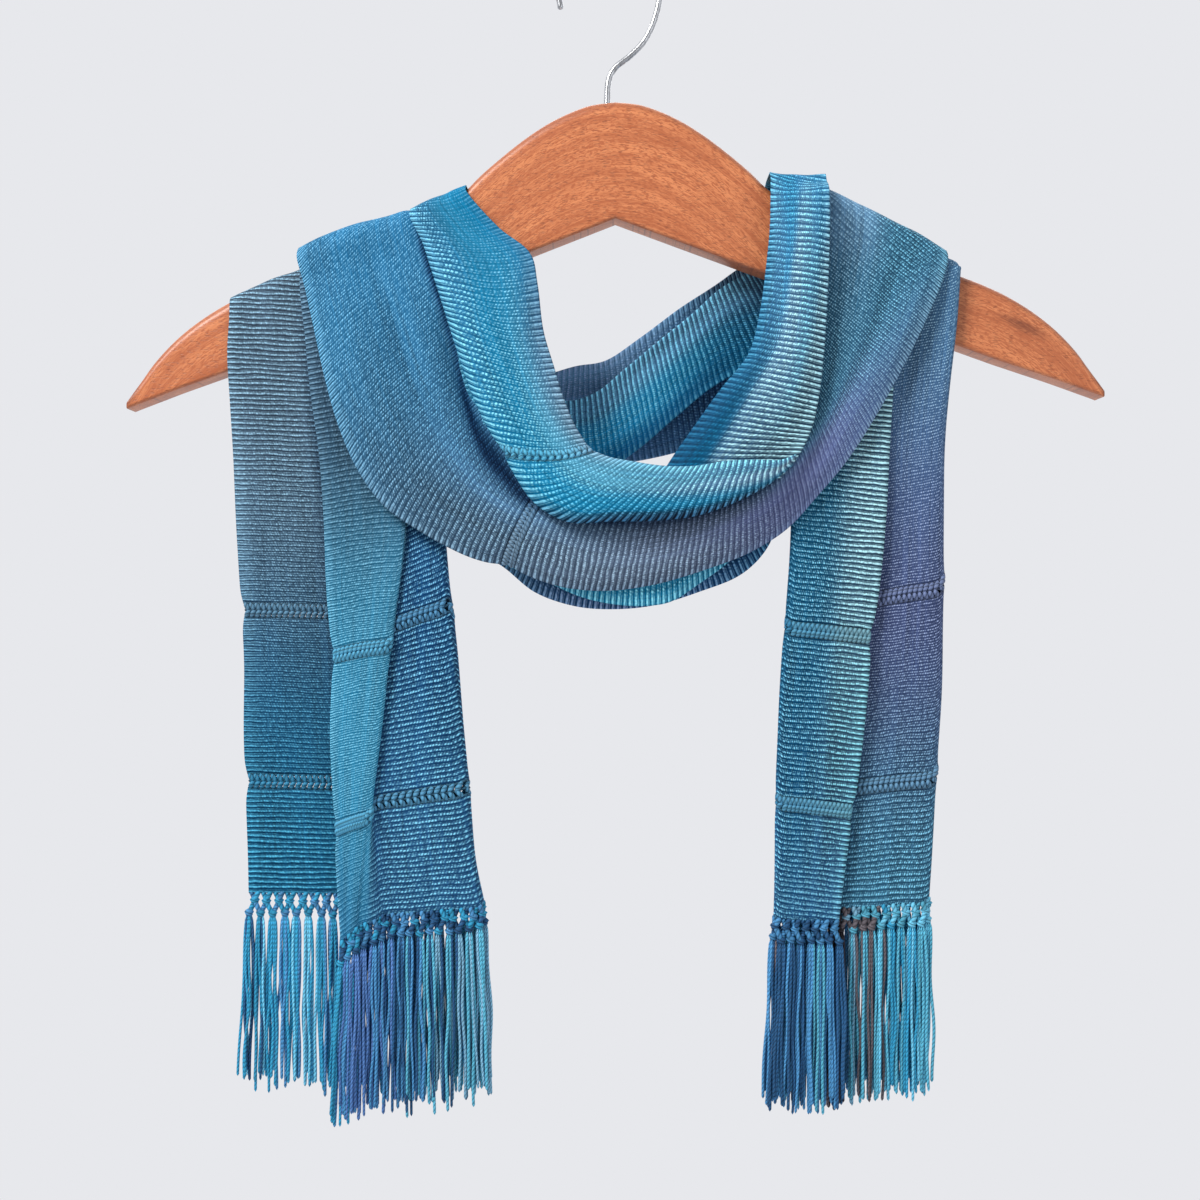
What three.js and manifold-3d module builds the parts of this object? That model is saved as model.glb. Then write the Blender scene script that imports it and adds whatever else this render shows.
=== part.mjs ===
// A long woven scarf with knotted fringes, wound over a wooden hanger.
// Millimetres, +Z up, +X to the viewer's right, -Y to the viewer. The origin is the seat of the hook, where the
// hanger hangs on its rail, so everything lies below z = 0 but the top of the wire.
//
// The scarf is one panel. It hangs as the left leg, passes over the left arm, round the back as the far loop, over
// the right arm as strap and right shoulder, across the front as the outer and inner loops, over the left arm
// again, round the back as the near loop, over the right arm and down as the right leg. Each stretch is a wall of
// even thickness lofted through sections, and each section runs across the cloth.
import * as THREE from 'three';
import { mergeVertices } from 'three/addons/utils/BufferGeometryUtils.js';
import Module from 'manifold-3d';

const wasm = await Module();
wasm.setup();

// ---- driving dimensions -------------------------------------------------------------------------------------
const CLOTH = 1.2;              // thickness of a cloth wall
const SEAM = 1.1;               // gap between two stretches of the same panel
const WOOD_DEPTH = 16;          // front to back of the hanger's body
const WOOD_TOP_EDGE = 5;        // rounding of its upper edges
const WOOD_LOWER_EDGE = 1.2;    // rounding of its lower edges
const WOOD_CENTRE_X = 3;        // the body's line of symmetry, a little right of the hook
const WOOD_TILT = 0.0122;       // rise of the body for each millimetre to the viewer's right, as it hangs
const WIRE_RADIUS = 1.4;
const HOOK_RADIUS = 23.5;       // centre line of the round hook
const HOOK_END_DEG = 198;       // where the round hook stops, counted from +X over the top
const HOOK_START_DEG = -9;
const STEM_X = -0.9;            // the stem enters the wood here
const STEM_FOOT_Z = -87;
const SOCKET = { radius: 1.9, top: -68, bottom: -88 };
const ARM_HALF = WOOD_DEPTH / 2;
const WRAP_SQUARENESS = 0.62;   // 1 is a round wrap, less follows the wood's flatter top
const WRAP_TURNS = [180, 150, 120, 90, 60, 30];
const TAIL_DROP = 10;           // how far a wrap reaches down behind the arm
const NET_GAP = 0.7;            // between the hem and the net
const NET_HEIGHT = 11;          // knotted net between the cloth and the loose strands
const NET_WALL = 2.2;
const STRAND_RADIUS = 0.7;
const STRAND_ROOT = 3;          // length of a strand inside the net
const STRAND_STAGGER = 0.95;    // half the distance between the two rows of strands

// Upper edge of one half of the wood, from its middle to the tip. The other half is its mirror image.
const WOOD_TOP = [
  { x: 0, z: -74.3 }, { x: 11, z: -75.6 }, { x: 21, z: -79 }, { x: 31.5, z: -84.2 },
  { x: 41.6, z: -90.8 }, { x: 51.7, z: -98.6 }, { x: 62.2, z: -107.6 }, { x: 69, z: -114.4 },
  { x: 78, z: -121.2 }, { x: 94, z: -129.5 }, { x: 107, z: -135.5 }, { x: 122, z: -142 },
  { x: 145, z: -151 }, { x: 158, z: -156 }, { x: 168, z: -160 }, { x: 179, z: -165.2 },
  { x: 191, z: -172.6 }, { x: 202, z: -181.4 }, { x: 212, z: -192.2 }, { x: 219, z: -202.6 },
  { x: 223.6, z: -209.8 },
];
// Lower edge of one half of the wood, from the notch to the tip.
const WOOD_BOTTOM = [
  { x: 0, z: -128.4 }, { x: 68, z: -154.3 }, { x: 155, z: -188 }, { x: 176, z: -195.8 }, { x: 201, z: -204.4 },
  { x: 223.6, z: -212.8 },
];

// ---- general helpers ----------------------------------------------------------------------------------------
const lerp = (a, b, t) => a + (b - a) * t;

/** Height of one edge of the wood at x. */
function edgeHeight(edge, x) {
  const reach = Math.min(Math.abs(x - WOOD_CENTRE_X), edge[edge.length - 1].x);
  const next = Math.max(1, edge.findIndex((p) => p.x >= reach));
  const [a, b] = [edge[next - 1], edge[next]];
  return lerp(a.z, b.z, (reach - a.x) / (b.x - a.x)) + WOOD_TILT * (x - WOOD_CENTRE_X);
}

const woodTop = (x) => edgeHeight(WOOD_TOP, x);
const woodBottom = (x) => edgeHeight(WOOD_BOTTOM, x);

/** A value that passes through three others at t = 0, 0.5 and 1. */
function through(start, middle, end, t) {
  return start * (1 - t) * (1 - 2 * t) + middle * 4 * t * (1 - t) + end * t * (2 * t - 1);
}

/** Smooths a list of sections: adds sections between them on a curve through each column of points. */
function smoothRows(rows, perRow) {
  const count = (rows.length - 1) * perRow;
  const columns = rows[0].map((_, j) => new THREE.CatmullRomCurve3(rows.map((row) => row[j]), false, 'centripetal'));
  return Array.from({ length: count + 1 }, (_, i) => columns.map((curve) => curve.getPoint(i / count)));
}

/** Unit normal of a grid of points at row i, column j. */
function gridNormal(grid, i, j) {
  const lastRow = grid.length - 1;
  const lastColumn = grid[0].length - 1;
  const down = grid[Math.min(i + 1, lastRow)][j].clone().sub(grid[Math.max(i - 1, 0)][j]);
  const across = grid[i][Math.min(j + 1, lastColumn)].clone().sub(grid[i][Math.max(j - 1, 0)]);
  return down.cross(across).normalize();
}

/** Closed wall of even thickness on both sides of a grid of points: two faces and four rims. */
function wall(grid, thickness) {
  const rows = grid.length;
  const columns = grid[0].length;
  const positions = [];
  for (const side of [0.5, -0.5]) {
    for (let i = 0; i < rows; i += 1) {
      for (let j = 0; j < columns; j += 1) {
        const point = grid[i][j].clone().addScaledVector(gridNormal(grid, i, j), side * thickness);
        positions.push(point.x, point.y, point.z);
      }
    }
  }
  const at = (side, i, j) => side * rows * columns + i * columns + j;
  const index = [];
  const quad = (a, b, c, d) => index.push(a, b, c, a, c, d);
  for (let i = 0; i + 1 < rows; i += 1) {
    for (let j = 0; j + 1 < columns; j += 1) {
      quad(at(0, i, j), at(0, i + 1, j), at(0, i + 1, j + 1), at(0, i, j + 1));
      quad(at(1, i, j), at(1, i, j + 1), at(1, i + 1, j + 1), at(1, i + 1, j));
    }
    quad(at(0, i, 0), at(1, i, 0), at(1, i + 1, 0), at(0, i + 1, 0));
    quad(at(0, i + 1, columns - 1), at(1, i + 1, columns - 1), at(1, i, columns - 1), at(0, i, columns - 1));
  }
  for (let j = 0; j + 1 < columns; j += 1) {
    quad(at(0, 0, j + 1), at(1, 0, j + 1), at(1, 0, j), at(0, 0, j));
    quad(at(0, rows - 1, j), at(1, rows - 1, j), at(1, rows - 1, j + 1), at(0, rows - 1, j + 1));
  }
  const geometry = new THREE.BufferGeometry();
  geometry.setAttribute('position', new THREE.Float32BufferAttribute(positions, 3));
  geometry.setIndex(index);
  return geometry;
}

/** A named mesh with its own material. */
function piece(name, geometry, colour, roughness, metalness = 0) {
  geometry.computeVertexNormals();
  const mesh = new THREE.Mesh(geometry, new THREE.MeshStandardMaterial({ color: colour, roughness, metalness }));
  mesh.name = name;
  return mesh;
}

/** Solid for a join or a cut, from any closed geometry. */
function solid(geometry) {
  const bare = geometry.clone();
  bare.deleteAttribute('normal');
  bare.deleteAttribute('uv');
  const merged = mergeVertices(bare, 1e-4);
  const vertProperties = new Float32Array(merged.attributes.position.array);
  const triVerts = new Uint32Array(merged.index.array);
  return new wasm.Manifold(new wasm.Mesh({ numProp: 3, vertProperties, triVerts }));
}

/** Geometry of a joined or cut solid. */
function geometryOf(joined) {
  const mesh = joined.getMesh();
  const geometry = new THREE.BufferGeometry();
  geometry.setAttribute('position', new THREE.Float32BufferAttribute(mesh.vertProperties, 3));
  geometry.setIndex(new THREE.BufferAttribute(mesh.triVerts, 1));
  return geometry;
}

// ---- hanger -------------------------------------------------------------------------------------------------

/** Closed body through rings of points, with a flat cap at each end. */
function throughRings(rings) {
  const around = rings[0].length;
  const positions = rings.flat().flatMap((p) => [p.x, p.y, p.z]);
  const index = [];
  for (let i = 0; i + 1 < rings.length; i += 1) {
    for (let j = 0; j < around; j += 1) {
      const [a, b] = [i * around + j, i * around + ((j + 1) % around)];
      index.push(a, a + around, b + around, a, b + around, b);
    }
  }
  const last = (rings.length - 1) * around;
  for (let j = 1; j + 1 < around; j += 1) {
    index.push(0, j, j + 1, last, last + j + 1, last + j);
  }
  const geometry = new THREE.BufferGeometry();
  geometry.setAttribute('position', new THREE.Float32BufferAttribute(positions, 3));
  geometry.setIndex(index);
  return geometry;
}

/** Upright section of the wood at x: well rounded above and nearly square below. */
function woodSection(x) {
  const [top, bottom] = [woodTop(x), woodBottom(x)];
  const height = top - bottom;
  const corner = (side, edgeZ, size, up) => {
    const radius = Math.min(size, height * 0.4);
    return [0, 30, 60, 90].map((deg) => {
      const turn = THREE.MathUtils.degToRad(deg);
      return new THREE.Vector3(x, side * (ARM_HALF - radius * (1 - Math.cos(turn))),
        edgeZ - up * radius * (1 - Math.sin(turn)));
    });
  };
  return [
    ...corner(-1, top, WOOD_TOP_EDGE, 1),
    ...corner(1, top, WOOD_TOP_EDGE, 1).reverse(),
    ...corner(1, bottom, WOOD_LOWER_EDGE, -1).filter((_, i) => i % 3 === 0),
    ...corner(-1, bottom, WOOD_LOWER_EDGE, -1).filter((_, i) => i % 3 === 0).reverse(),
  ];
}

/** Wooden body: two arms, a domed middle, a notch below it, and a socket for the stem of the hook. */
function hangerBody() {
  const half = WOOD_TOP.map((p) => p.x);
  const stations = [...half.slice(1).reverse().map((x) => -x), ...half];
  const body = throughRings(stations.map((x) => woodSection(WOOD_CENTRE_X + x)));
  const depth = SOCKET.top - SOCKET.bottom;
  const socket = new THREE.CylinderGeometry(SOCKET.radius, SOCKET.radius, depth, 12);
  socket.rotateX(Math.PI / 2);
  socket.translate(STEM_X, 0, (SOCKET.top + SOCKET.bottom) / 2);
  return geometryOf(solid(body).subtract(solid(socket)));
}

/** Wire hook: a straight stem, an easy S-bend and a round hook. */
function hangerHook() {
  const centreZ = WIRE_RADIUS - HOOK_RADIUS;
  const bend = [
    { x: STEM_X, z: STEM_FOOT_Z }, { x: STEM_X, z: -74 }, { x: 0.2, z: -62 }, { x: 3, z: -57.2 },
    { x: 9.5, z: -52 }, { x: 15.6, z: -45.8 }, { x: 19.6, z: -38.8 }, { x: 22, z: -31.9 },
  ].map((p) => new THREE.Vector3(p.x, 0, p.z));
  const round = [];
  for (let angle = HOOK_START_DEG; angle <= HOOK_END_DEG; angle += 23) {
    const turn = THREE.MathUtils.degToRad(angle);
    round.push(new THREE.Vector3(HOOK_RADIUS * Math.cos(turn), 0, centreZ + HOOK_RADIUS * Math.sin(turn)));
  }
  const route = new THREE.CatmullRomCurve3([...bend, ...round], false, 'centripetal');
  const section = new THREE.Shape();
  section.absarc(0, 0, WIRE_RADIUS, 0, 2 * Math.PI);
  return new THREE.ExtrudeGeometry(section, { extrudePath: route, steps: 38, curveSegments: 4 });
}

// ---- cloth: wraps over an arm -------------------------------------------------------------------------------

/** Point of a wrap over an arm: x along the arm, lift off the wood, turn from 0 (front) to 180 degrees (back). */
function overArm(x, lift, turnDeg) {
  const turn = THREE.MathUtils.degToRad(turnDeg);
  const reach = ARM_HALF + lift;
  const forward = Math.sign(Math.cos(turn)) * Math.abs(Math.cos(turn)) ** WRAP_SQUARENESS;
  const up = Math.sin(turn) ** WRAP_SQUARENESS;
  return new THREE.Vector3(x, -reach * forward, woodTop(x) - ARM_HALF + reach * up);
}

/** Sections of a simple wrap, from its tail behind the arm to the front of the arm. Front and back give the lift
 *  off the wood at both edges and in the middle. */
function wrapRows(wrap, columns) {
  const across = Array.from({ length: columns }, (_, j) => j / (columns - 1));
  const section = (turn) => across.map((v) => {
    const share = THREE.MathUtils.smoothstep(turn, 60, 180);
    return overArm(lerp(wrap.x0, wrap.x1, v), lerp(through(...wrap.front, v), through(...wrap.back, v), share), turn);
  });
  const tail = section(180).map((p) => p.setZ(p.z - TAIL_DROP));
  return [tail, ...WRAP_TURNS.map(section)];
}

/** First or last section of a loop behind the arm, just below the tails of the wraps that it carries on. */
function joinRow(wrap, columns) {
  return Array.from({ length: columns }, (_, j) => {
    const v = j / (columns - 1);
    const x = lerp(wrap.x0, wrap.x1, v);
    return new THREE.Vector3(x, ARM_HALF + through(...wrap.back, v), woodTop(x) - ARM_HALF - TAIL_DROP - SEAM);
  });
}

// ---- cloth: loops -------------------------------------------------------------------------------------------

/** Sections of a loop from its table. A row runs from the outer (lower) edge to the inner (upper) edge. The
 *  middle stands out by crown towards the viewer, and each edge turns back by its lip over a fifth of the width. */
function loopRows(table, columns) {
  const lipWidth = 0.2;
  return table.map(([outerX, outerZ, outerY, innerX, innerZ, innerY, crown, outerLip, innerLip]) => (
    Array.from({ length: columns }, (_, j) => {
      const v = j / (columns - 1);
      const outerTurn = Math.max(0, 1 - v / lipWidth) ** 2;
      const innerTurn = Math.max(0, 1 - (1 - v) / lipWidth) ** 2;
      const y = lerp(outerY, innerY, v) - crown * Math.sin(Math.PI * v)
        + outerLip * outerTurn + innerLip * innerTurn;
      return new THREE.Vector3(lerp(outerX, innerX, v), y, lerp(outerZ, innerZ, v));
    })
  ));
}

const LOOP_OUTER_LEFT_WRAP = { x0: -141, x1: -87, front: [10.3, 10.5, 3.2], back: [9.8, 10.3, 3.2] };
const LOOP_OUTER_RIGHT_WRAP = { x0: 153.5, x1: 95.5, front: [8.4, 12.8, 13.8], back: [7.4, 10.6, 10.6] };
// Columns: outer edge x, z, y; inner edge x, z, y; crown; outer lip; inner lip. From the left arm to the right.
const LOOP_OUTER = [
  [-137.9, -160, -18.2, -83, -146, -13, 2, 1, 0],
  [-134.1, -176.2, -19.5, -76, -167, -14.5, 3, 1.5, 0],
  [-129, -198.8, -20.5, -67.5, -191, -16, 3, 2, 0],
  [-122.6, -222.3, -21.5, -58, -213, -18, 3, 2, 0],
  [-113.5, -243.9, -22.5, -47, -231, -20, 3, 2.5, 0],
  [-101.2, -260.6, -24, -35.5, -244, -21.5, 2.5, 2.5, 0],
  [-84.7, -272.2, -24.5, -24, -253, -23, 2, 2.5, 0],
  [-64.5, -283, -25, -12, -258.5, -25, 2, 2.5, 0],
  [-44.4, -289.2, -25, -2, -261.5, -26, 2, 2.5, 0],
  [-22, -296.6, -25, 9, -262.5, -27, 2, 2.5, 0],
  [-1.9, -298.6, -25, 20.5, -261.2, -27, 2, 2.5, 0],
  [20.1, -295.9, -25, 33.7, -257.7, -27, 2, 2.5, 0],
  [42.9, -289.2, -25, 47.6, -252.3, -26.5, 2, 2.5, 0],
  [63, -281.6, -24.5, 60.6, -245.1, -26, 2, 2.5, 0],
  [79.7, -271.3, -24, 71, -236.1, -25, 2, 2.5, 0],
  [93.3, -256.4, -24, 80, -224.8, -24.5, 2, 2, 0],
  [105.9, -241.2, -24, 86.4, -212.6, -24, 2, 2, 0],
  [118.9, -221.4, -23.5, 90, -197.8, -24, 2, 2, 0],
  [129.8, -202.4, -22, 91.7, -182.3, -24, 2, 2, 0],
  [139.4, -183.9, -20.5, 92.8, -164.3, -24, 1.5, 1.5, 0],
  [146.6, -168.5, -18.4, 94, -147, -24, 1, 1, 0],
  [151, -158, -17, 94.6, -138, -24, 0.5, 0.5, 0],
];

/** Outer front loop: left shoulder, bottom of the cowl, right shoulder. */
function loopOuter() {
  const columns = 10;
  const front = loopRows(LOOP_OUTER, columns);
  const left = wrapRows(LOOP_OUTER_LEFT_WRAP, columns);
  const right = wrapRows(LOOP_OUTER_RIGHT_WRAP, columns).reverse();
  return wall(smoothRows([...left, ...front, ...right], 1), CLOTH);
}

const LOOP_INNER_WRAP = { x0: -90.5, x1: -65.4, front: [6.4, 5.6, 2], back: [6.4, 5.6, 2] };
// Same columns. From the left arm down the neck edge and to the right, where the roll runs out to a point.
const LOOP_INNER = [
  [-84.8, -140.5, -16, -50, -134, -11, 1.5, 1.5, 0],
  [-80.9, -151.8, -17.5, -35.8, -145.9, -13, 2, 2, 0],
  [-76.2, -165.7, -19.5, -32.4, -160.1, -16, 2.5, 2.5, 0],
  [-71.5, -180.4, -22, -29.6, -181.6, -20, 3, 3, 0],
  [-63.1, -206.1, -26, -24.7, -198.8, -24, 3, 3, 0],
  [-53.9, -226.6, -30, -20.1, -213.9, -27, 3, 3.5, 0.5],
  [-43.1, -245.5, -33, -13, -229.4, -30, 3, 4, 1.5],
  [-32.8, -260.3, -36, -2.3, -239, -33, 3, 4, 2.5],
  [-18.2, -268.4, -38, 10, -242.2, -35, 3, 4, 3],
  [0.3, -268, -39, 22.3, -244.1, -36, 3, 4, 3],
  [20.1, -267.5, -39, 37.7, -244.2, -37, 3, 4, 3],
  [38.9, -265.3, -39, 52.2, -242, -37.5, 2.5, 3.5, 2.5],
  [54.4, -260, -38, 64.9, -241.6, -37.5, 2, 2.5, 2],
  [69.9, -252, -36.5, 76, -241.5, -36.5, 1, 1.5, 1],
  [80.5, -243.5, -35, 82.5, -239, -35, 0.5, 0, 0],
];

/** Inner front loop: the neck edge of the cowl, rolled over the outer loop. */
function loopInner() {
  const columns = 9;
  const rows = [...wrapRows(LOOP_INNER_WRAP, columns), ...loopRows(LOOP_INNER, columns)];
  return wall(smoothRows(rows, 1), CLOTH);
}

const STRAP_WRAP = { x0: 73.3, x1: 97.5, front: [6.6, 14.5, 24], back: [5.4, 10.6, 14.8] };
// Same columns, outer edge on the viewer's left. From the right arm down behind the rolled neck edge.
const STRAP = [
  [73.1, -124, -18, 97.3, -121, -33, 1, 1, 0],
  [72.8, -136.2, -20, 97.6, -134.6, -33, 1.5, 2, 0],
  [70.8, -155, -22, 97.3, -153.4, -32.5, 2, 2.5, 0],
  [67.5, -175.5, -24, 96.4, -174.7, -32, 2, 2.5, 0],
  [62.5, -193, -25.5, 95.1, -193.3, -32, 2, 2, 0],
  [50.3, -208.6, -27, 93, -212.2, -31.5, 2, 2, 0],
  [37.7, -226.1, -28.5, 89.5, -227.7, -31, 1.5, 2, 0],
  [25.7, -243.5, -29.5, 83.2, -240.1, -31, 1, 2, 0],
  [20.3, -254, -30.5, 75.7, -249, -31, 0.5, 1.5, 0],
];

/** Right strap: the loose fold that stands over the right arm and falls into the cowl. */
function strapRight() {
  const columns = 8;
  const rows = [...wrapRows(STRAP_WRAP, columns), ...loopRows(STRAP, columns)];
  return wall(smoothRows(rows, 1), CLOTH);
}

// Same columns. Two folds of the front loop that show as narrow crescents under its lower edge. Their ends run up
// behind it to the wood on both sides.
const UNDERFOLD_NEAR = [
  [-72, -161, -12, -58, -152, -12, 0, 0, 0],
  [-74, -190, -13.5, -54, -186, -14, 0, 0, 0],
  [-75, -220, -14, -55, -214, -15, 0, 0, 0],
  [-73, -250, -16, -57, -236, -17, 0, 0, 0],
  [-65, -273.5, -18, -51, -250, -18, 0, 0.5, 0],
  [-49.3, -285.9, -18.5, -38, -260, -18.5, 0, 1, 0],
  [-28.9, -294.5, -19, -22.1, -267.5, -19, 0, 1, 0],
  [-13.6, -301.3, -19.5, -8.6, -271.6, -19.5, 0, 1.5, 0],
  [-0.9, -304.5, -19.5, 1.3, -272.9, -19.5, 0, 1.5, 0],
  [13.9, -305.8, -19.5, 13.9, -272.5, -19.5, 0, 1.5, 0],
  [27.4, -304, -19.5, 26.5, -269.8, -19.5, 0, 1.5, 0],
  [41, -295.4, -19, 38.3, -264.7, -19, 0, 1.5, 0],
  [54.6, -285.1, -18.5, 49, -258, -18.5, 0, 1, 0],
  [67, -270, -18, 59, -246, -18, 0, 0.5, 0],
  [76, -246, -17, 64, -230, -17.5, 0, 0, 0],
  [80, -215, -15.5, 67, -206, -16, 0, 0, 0],
  [81, -190, -14.5, 70, -186, -14.5, 0, 0, 0],
  [81, -164, -13, 73, -162, -13, 0, 0, 0],
];
const UNDERFOLD_FAR = [
  [-77, -161, -10.5, -60, -153, -9.6, 0, 0, 0],
  [-75.5, -190, -10.5, -56, -186, -10.5, 0, 0, 0],
  [-74, -220, -10.5, -57, -216, -10.8, 0, 0, 0],
  [-71.5, -250, -11, -58, -240, -11.5, 0, 0, 0],
  [-68.5, -267, -12, -54, -252, -12, 0, 0, 0],
  [-60.5, -279.5, -12, -48, -259, -12, 0, 0.5, 0],
  [-47.3, -288.6, -12.5, -38, -268, -12.5, 0, 1, 0],
  [-33.7, -299.5, -13, -26, -276, -13, 0, 1, 0],
  [-15.5, -305.8, -13.5, -11, -281, -13.5, 0, 1.5, 0],
  [2.3, -307.2, -13.5, 4.1, -282, -13.5, 0, 1.5, 0],
  [20.9, -305.4, -13.5, 18.6, -280, -13.5, 0, 1.5, 0],
  [40.5, -299.5, -13, 34.6, -275.5, -13, 0, 1, 0],
  [60.9, -290.8, -12.5, 50, -267, -12.5, 0, 1, 0],
  [73, -277.5, -12, 60, -256, -12, 0, 0.5, 0],
  [78, -258, -11.5, 66.5, -244, -12, 0, 0, 0],
  [79.5, -225, -11, 69, -218, -11.5, 0, 0, 0],
  [80, -195, -10.8, 70, -192, -10.8, 0, 0, 0],
  [80, -166, -10, 72, -163, -9.8, 0, 0, 0],
];

// Same columns, with y positive behind the hanger. Outer edge is the lower one.
const BACK_NEAR_JOINS = [
  { x0: -140, x1: -66, back: [9.6, 8.4, 3] },
  { x0: 158, x1: 85, back: [5, 4.6, 4] },
];
const BACK_NEAR = [
  [-113, -183, 17, -60, -150, 11.5, 0, 0, 0],
  [-88, -203, 16, -60, -168, 12.5, 0, 0, 0],
  [-64, -224, 17, -54.9, -185, 13.5, 0, 0, -1],
  [-42, -238, 18, -39.4, -202, 14, 1, 0, -1],
  [-20.2, -244, 18.5, -20.1, -209.5, 14, 1.5, 0, -1],
  [-1.7, -241.6, 18.5, -6.5, -205.7, 14, 1.5, 0, -1],
  [14.8, -231.2, 17.5, 7.6, -194.6, 13, 1.5, 0, -1],
  [31.7, -216.8, 16, 23.1, -182, 12, 1.5, 0, -1],
  [48.7, -203, 15.5, 39, -169.1, 11, 1.5, 0, -0.5],
  [66, -194, 15.5, 52.1, -157.4, 10.5, 1, 0, 0],
  [90, -190, 15, 66, -149.5, 10.5, 0, 0, 0],
  [120, -187, 14, 76, -146, 10.8, 0, 0, 0],
];
const BACK_FAR_JOINS = [
  { x0: -170, x1: -98.5, back: [4, 4, 4] },
  { x0: 152, x1: 75.2, back: [8.5, 11, 8.8] },
];
const BACK_FAR = [
  [-160, -206, 20, -125, -181, 16, 0, 0, 0],
  [-138, -222, 27, -109, -193, 23, 0, 0, 0],
  [-112, -232, 30, -88, -196, 25.5, 0, 0, 0],
  [-84, -238, 31, -66, -198, 26.5, 0, 0, 0],
  [-50, -240, 31, -42, -198.5, 26.5, 0.5, 0, 0],
  [-18.5, -239, 31, -16, -191.5, 26, 1, 0, 0],
  [3, -238, 30, -1.7, -189, 25.5, 1.5, 0, 0],
  [24, -234.5, 29, 15, -178.2, 24.5, 1.5, 0, 0],
  [44, -229, 28, 34, -164.2, 23.5, 1, 0, 0],
  [64, -221, 27, 50.5, -153.6, 22.5, 0, 0, 0],
  [87, -211, 25.5, 63, -145, 21, 0, 0, 0],
  [113, -200, 22.5, 69, -142.5, 19, 0, 0, 0],
];

/** A loop behind the hanger: joined to the wraps of both arms, and smooth between them. */
function backLoop(table, joins) {
  const columns = 8;
  const rows = [joinRow(joins[0], columns), ...loopRows(table, columns), joinRow(joins[1], columns)];
  return wall(smoothRows(rows, 2), CLOTH);
}

// ---- cloth: legs --------------------------------------------------------------------------------------------

/** Half circle of cloth from one layer to the next. side is +1 for a fold on the right and -1 on the left. */
function foldArc(edgeX, liftA, liftB, side, points) {
  const radius = (liftB - liftA) / 2;
  return Array.from({ length: points }, (_, i) => {
    const turn = Math.PI * ((i + 1) / (points + 1) - 0.5);
    return [edgeX + side * radius * (Math.cos(turn) - 1), (liftA + liftB) / 2 + radius * Math.sin(turn)];
  });
}

/** Even points of one flat layer, from x0 to x1 at one lift. */
function layer(x0, x1, lift, points) {
  return Array.from({ length: points }, (_, i) => [lerp(x0, x1, i / (points - 1)), lift]);
}

/** Section of the left leg: back layer, round fold on the right, front layer, and a tuck that folds the last
 *  strip over the front layer. Where the tuck is used up it eases to a soft step. */
function leftSection(row) {
  const half = (row.liftB - row.liftA) / 2;
  const step = 0.8;
  const ease = THREE.MathUtils.clamp(row.tuck / 8, 0, 1);
  const tuckX = row.foldX - row.tuck;
  return [
    ...layer(row.backX, row.rightX - half, row.liftA, 6),
    ...foldArc(row.rightX, row.liftA, row.liftB, 1, 3),
    ...layer(row.rightX - half, tuckX + 2 * step, row.liftB, 4),
    [tuckX - ease * step * 0.4, row.liftB + step],
    [(tuckX + row.foldX) / 2, row.liftB + 2 * step],
    [row.foldX + ease * step * 0.4, row.liftB + 3 * step],
    ...layer(row.foldX - 2 * step, row.frontX, row.liftB + 4 * step, 4),
  ];
}

/** Section of the right leg: hidden back layer, round fold on the right, middle layer, round fold on the left,
 *  front layer. */
function rightSection(row) {
  const backHalf = (row.liftB - row.liftA) / 2;
  const frontHalf = (row.liftC - row.liftB) / 2;
  return [
    ...layer(row.leftX + row.hidden, row.rightX - backHalf, row.liftA, 5),
    ...foldArc(row.rightX, row.liftA, row.liftB, 1, 3),
    ...layer(row.rightX - backHalf, row.leftX + frontHalf, row.liftB, 6),
    ...foldArc(row.leftX, row.liftB, row.liftC, -1, 3),
    ...layer(row.leftX + frontHalf, row.frontX, row.liftC, 4),
  ];
}

/** Sections of a leg: behind the arm, over it, and hanging through the rows of its table. */
function legRows(table, sectionOf) {
  const top = sectionOf(table[0]);
  const over = WRAP_TURNS.map((turn) => top.map(([x, lift]) => overArm(x, lift, turn)));
  const tail = over[0].map((p) => p.clone().setZ(p.z - TAIL_DROP));
  const hanging = table.map((row) => {
    const section = sectionOf(row);
    return section.map(([x, lift], j) => {
      const z = through(row.startZ, row.turnZ, row.endZ, j / (section.length - 1));
      return new THREE.Vector3(x, -ARM_HALF - lift, z);
    });
  });
  return [tail, ...over, ...hanging];
}

/** Rows of a table of numbers as objects with named columns. */
function named(columns, rows) {
  return rows.map((row) => Object.fromEntries(columns.map((name, i) => [name, row[i]])));
}

// The first row lies at the front of the arm, the last one is the hem.
const LEFT_LEG = named(
  ['startZ', 'turnZ', 'endZ', 'backX', 'rightX', 'foldX', 'frontX', 'tuck', 'liftA', 'liftB'],
  [
    [-174, -151, -163, -173.1, -95, -103, -140, 20, 1.7, 3.3],
    [-190, -174, -182, -174, -91, -101, -138, 19.5, 1.7, 3.3],
    [-212, -204, -208, -172.9, -87, -98, -135.5, 18, 1.6, 3.4],
    [-238, -236, -238, -171.4, -81.5, -94.5, -131.3, 16, 1.6, 3.6],
    [-267, -267, -267, -170.1, -75.5, -92.1, -129, 13, 1.6, 5.4],
    [-300, -300, -300, -168.2, -72.4, -95.5, -127.2, 10, 1.6, 8],
    [-331, -331, -331, -166.4, -68.9, -99.4, -124.8, 8, 1.6, 8.4],
    [-365, -365, -365, -166.6, -65.9, -103.6, -125.6, 4, 1.6, 8.6],
    [-398, -398, -399, -165.4, -63.2, -107.4, -124, 0, 1.6, 8.6],
    [-420, -422, -430, -164.6, -61, -110.6, -122.6, -5, 1.6, 8.2],
    [-436.5, -443, -457.6, -164.3, -57.2, -113.5, -121, -9, 1.6, 7.6],
  ],
);
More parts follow.
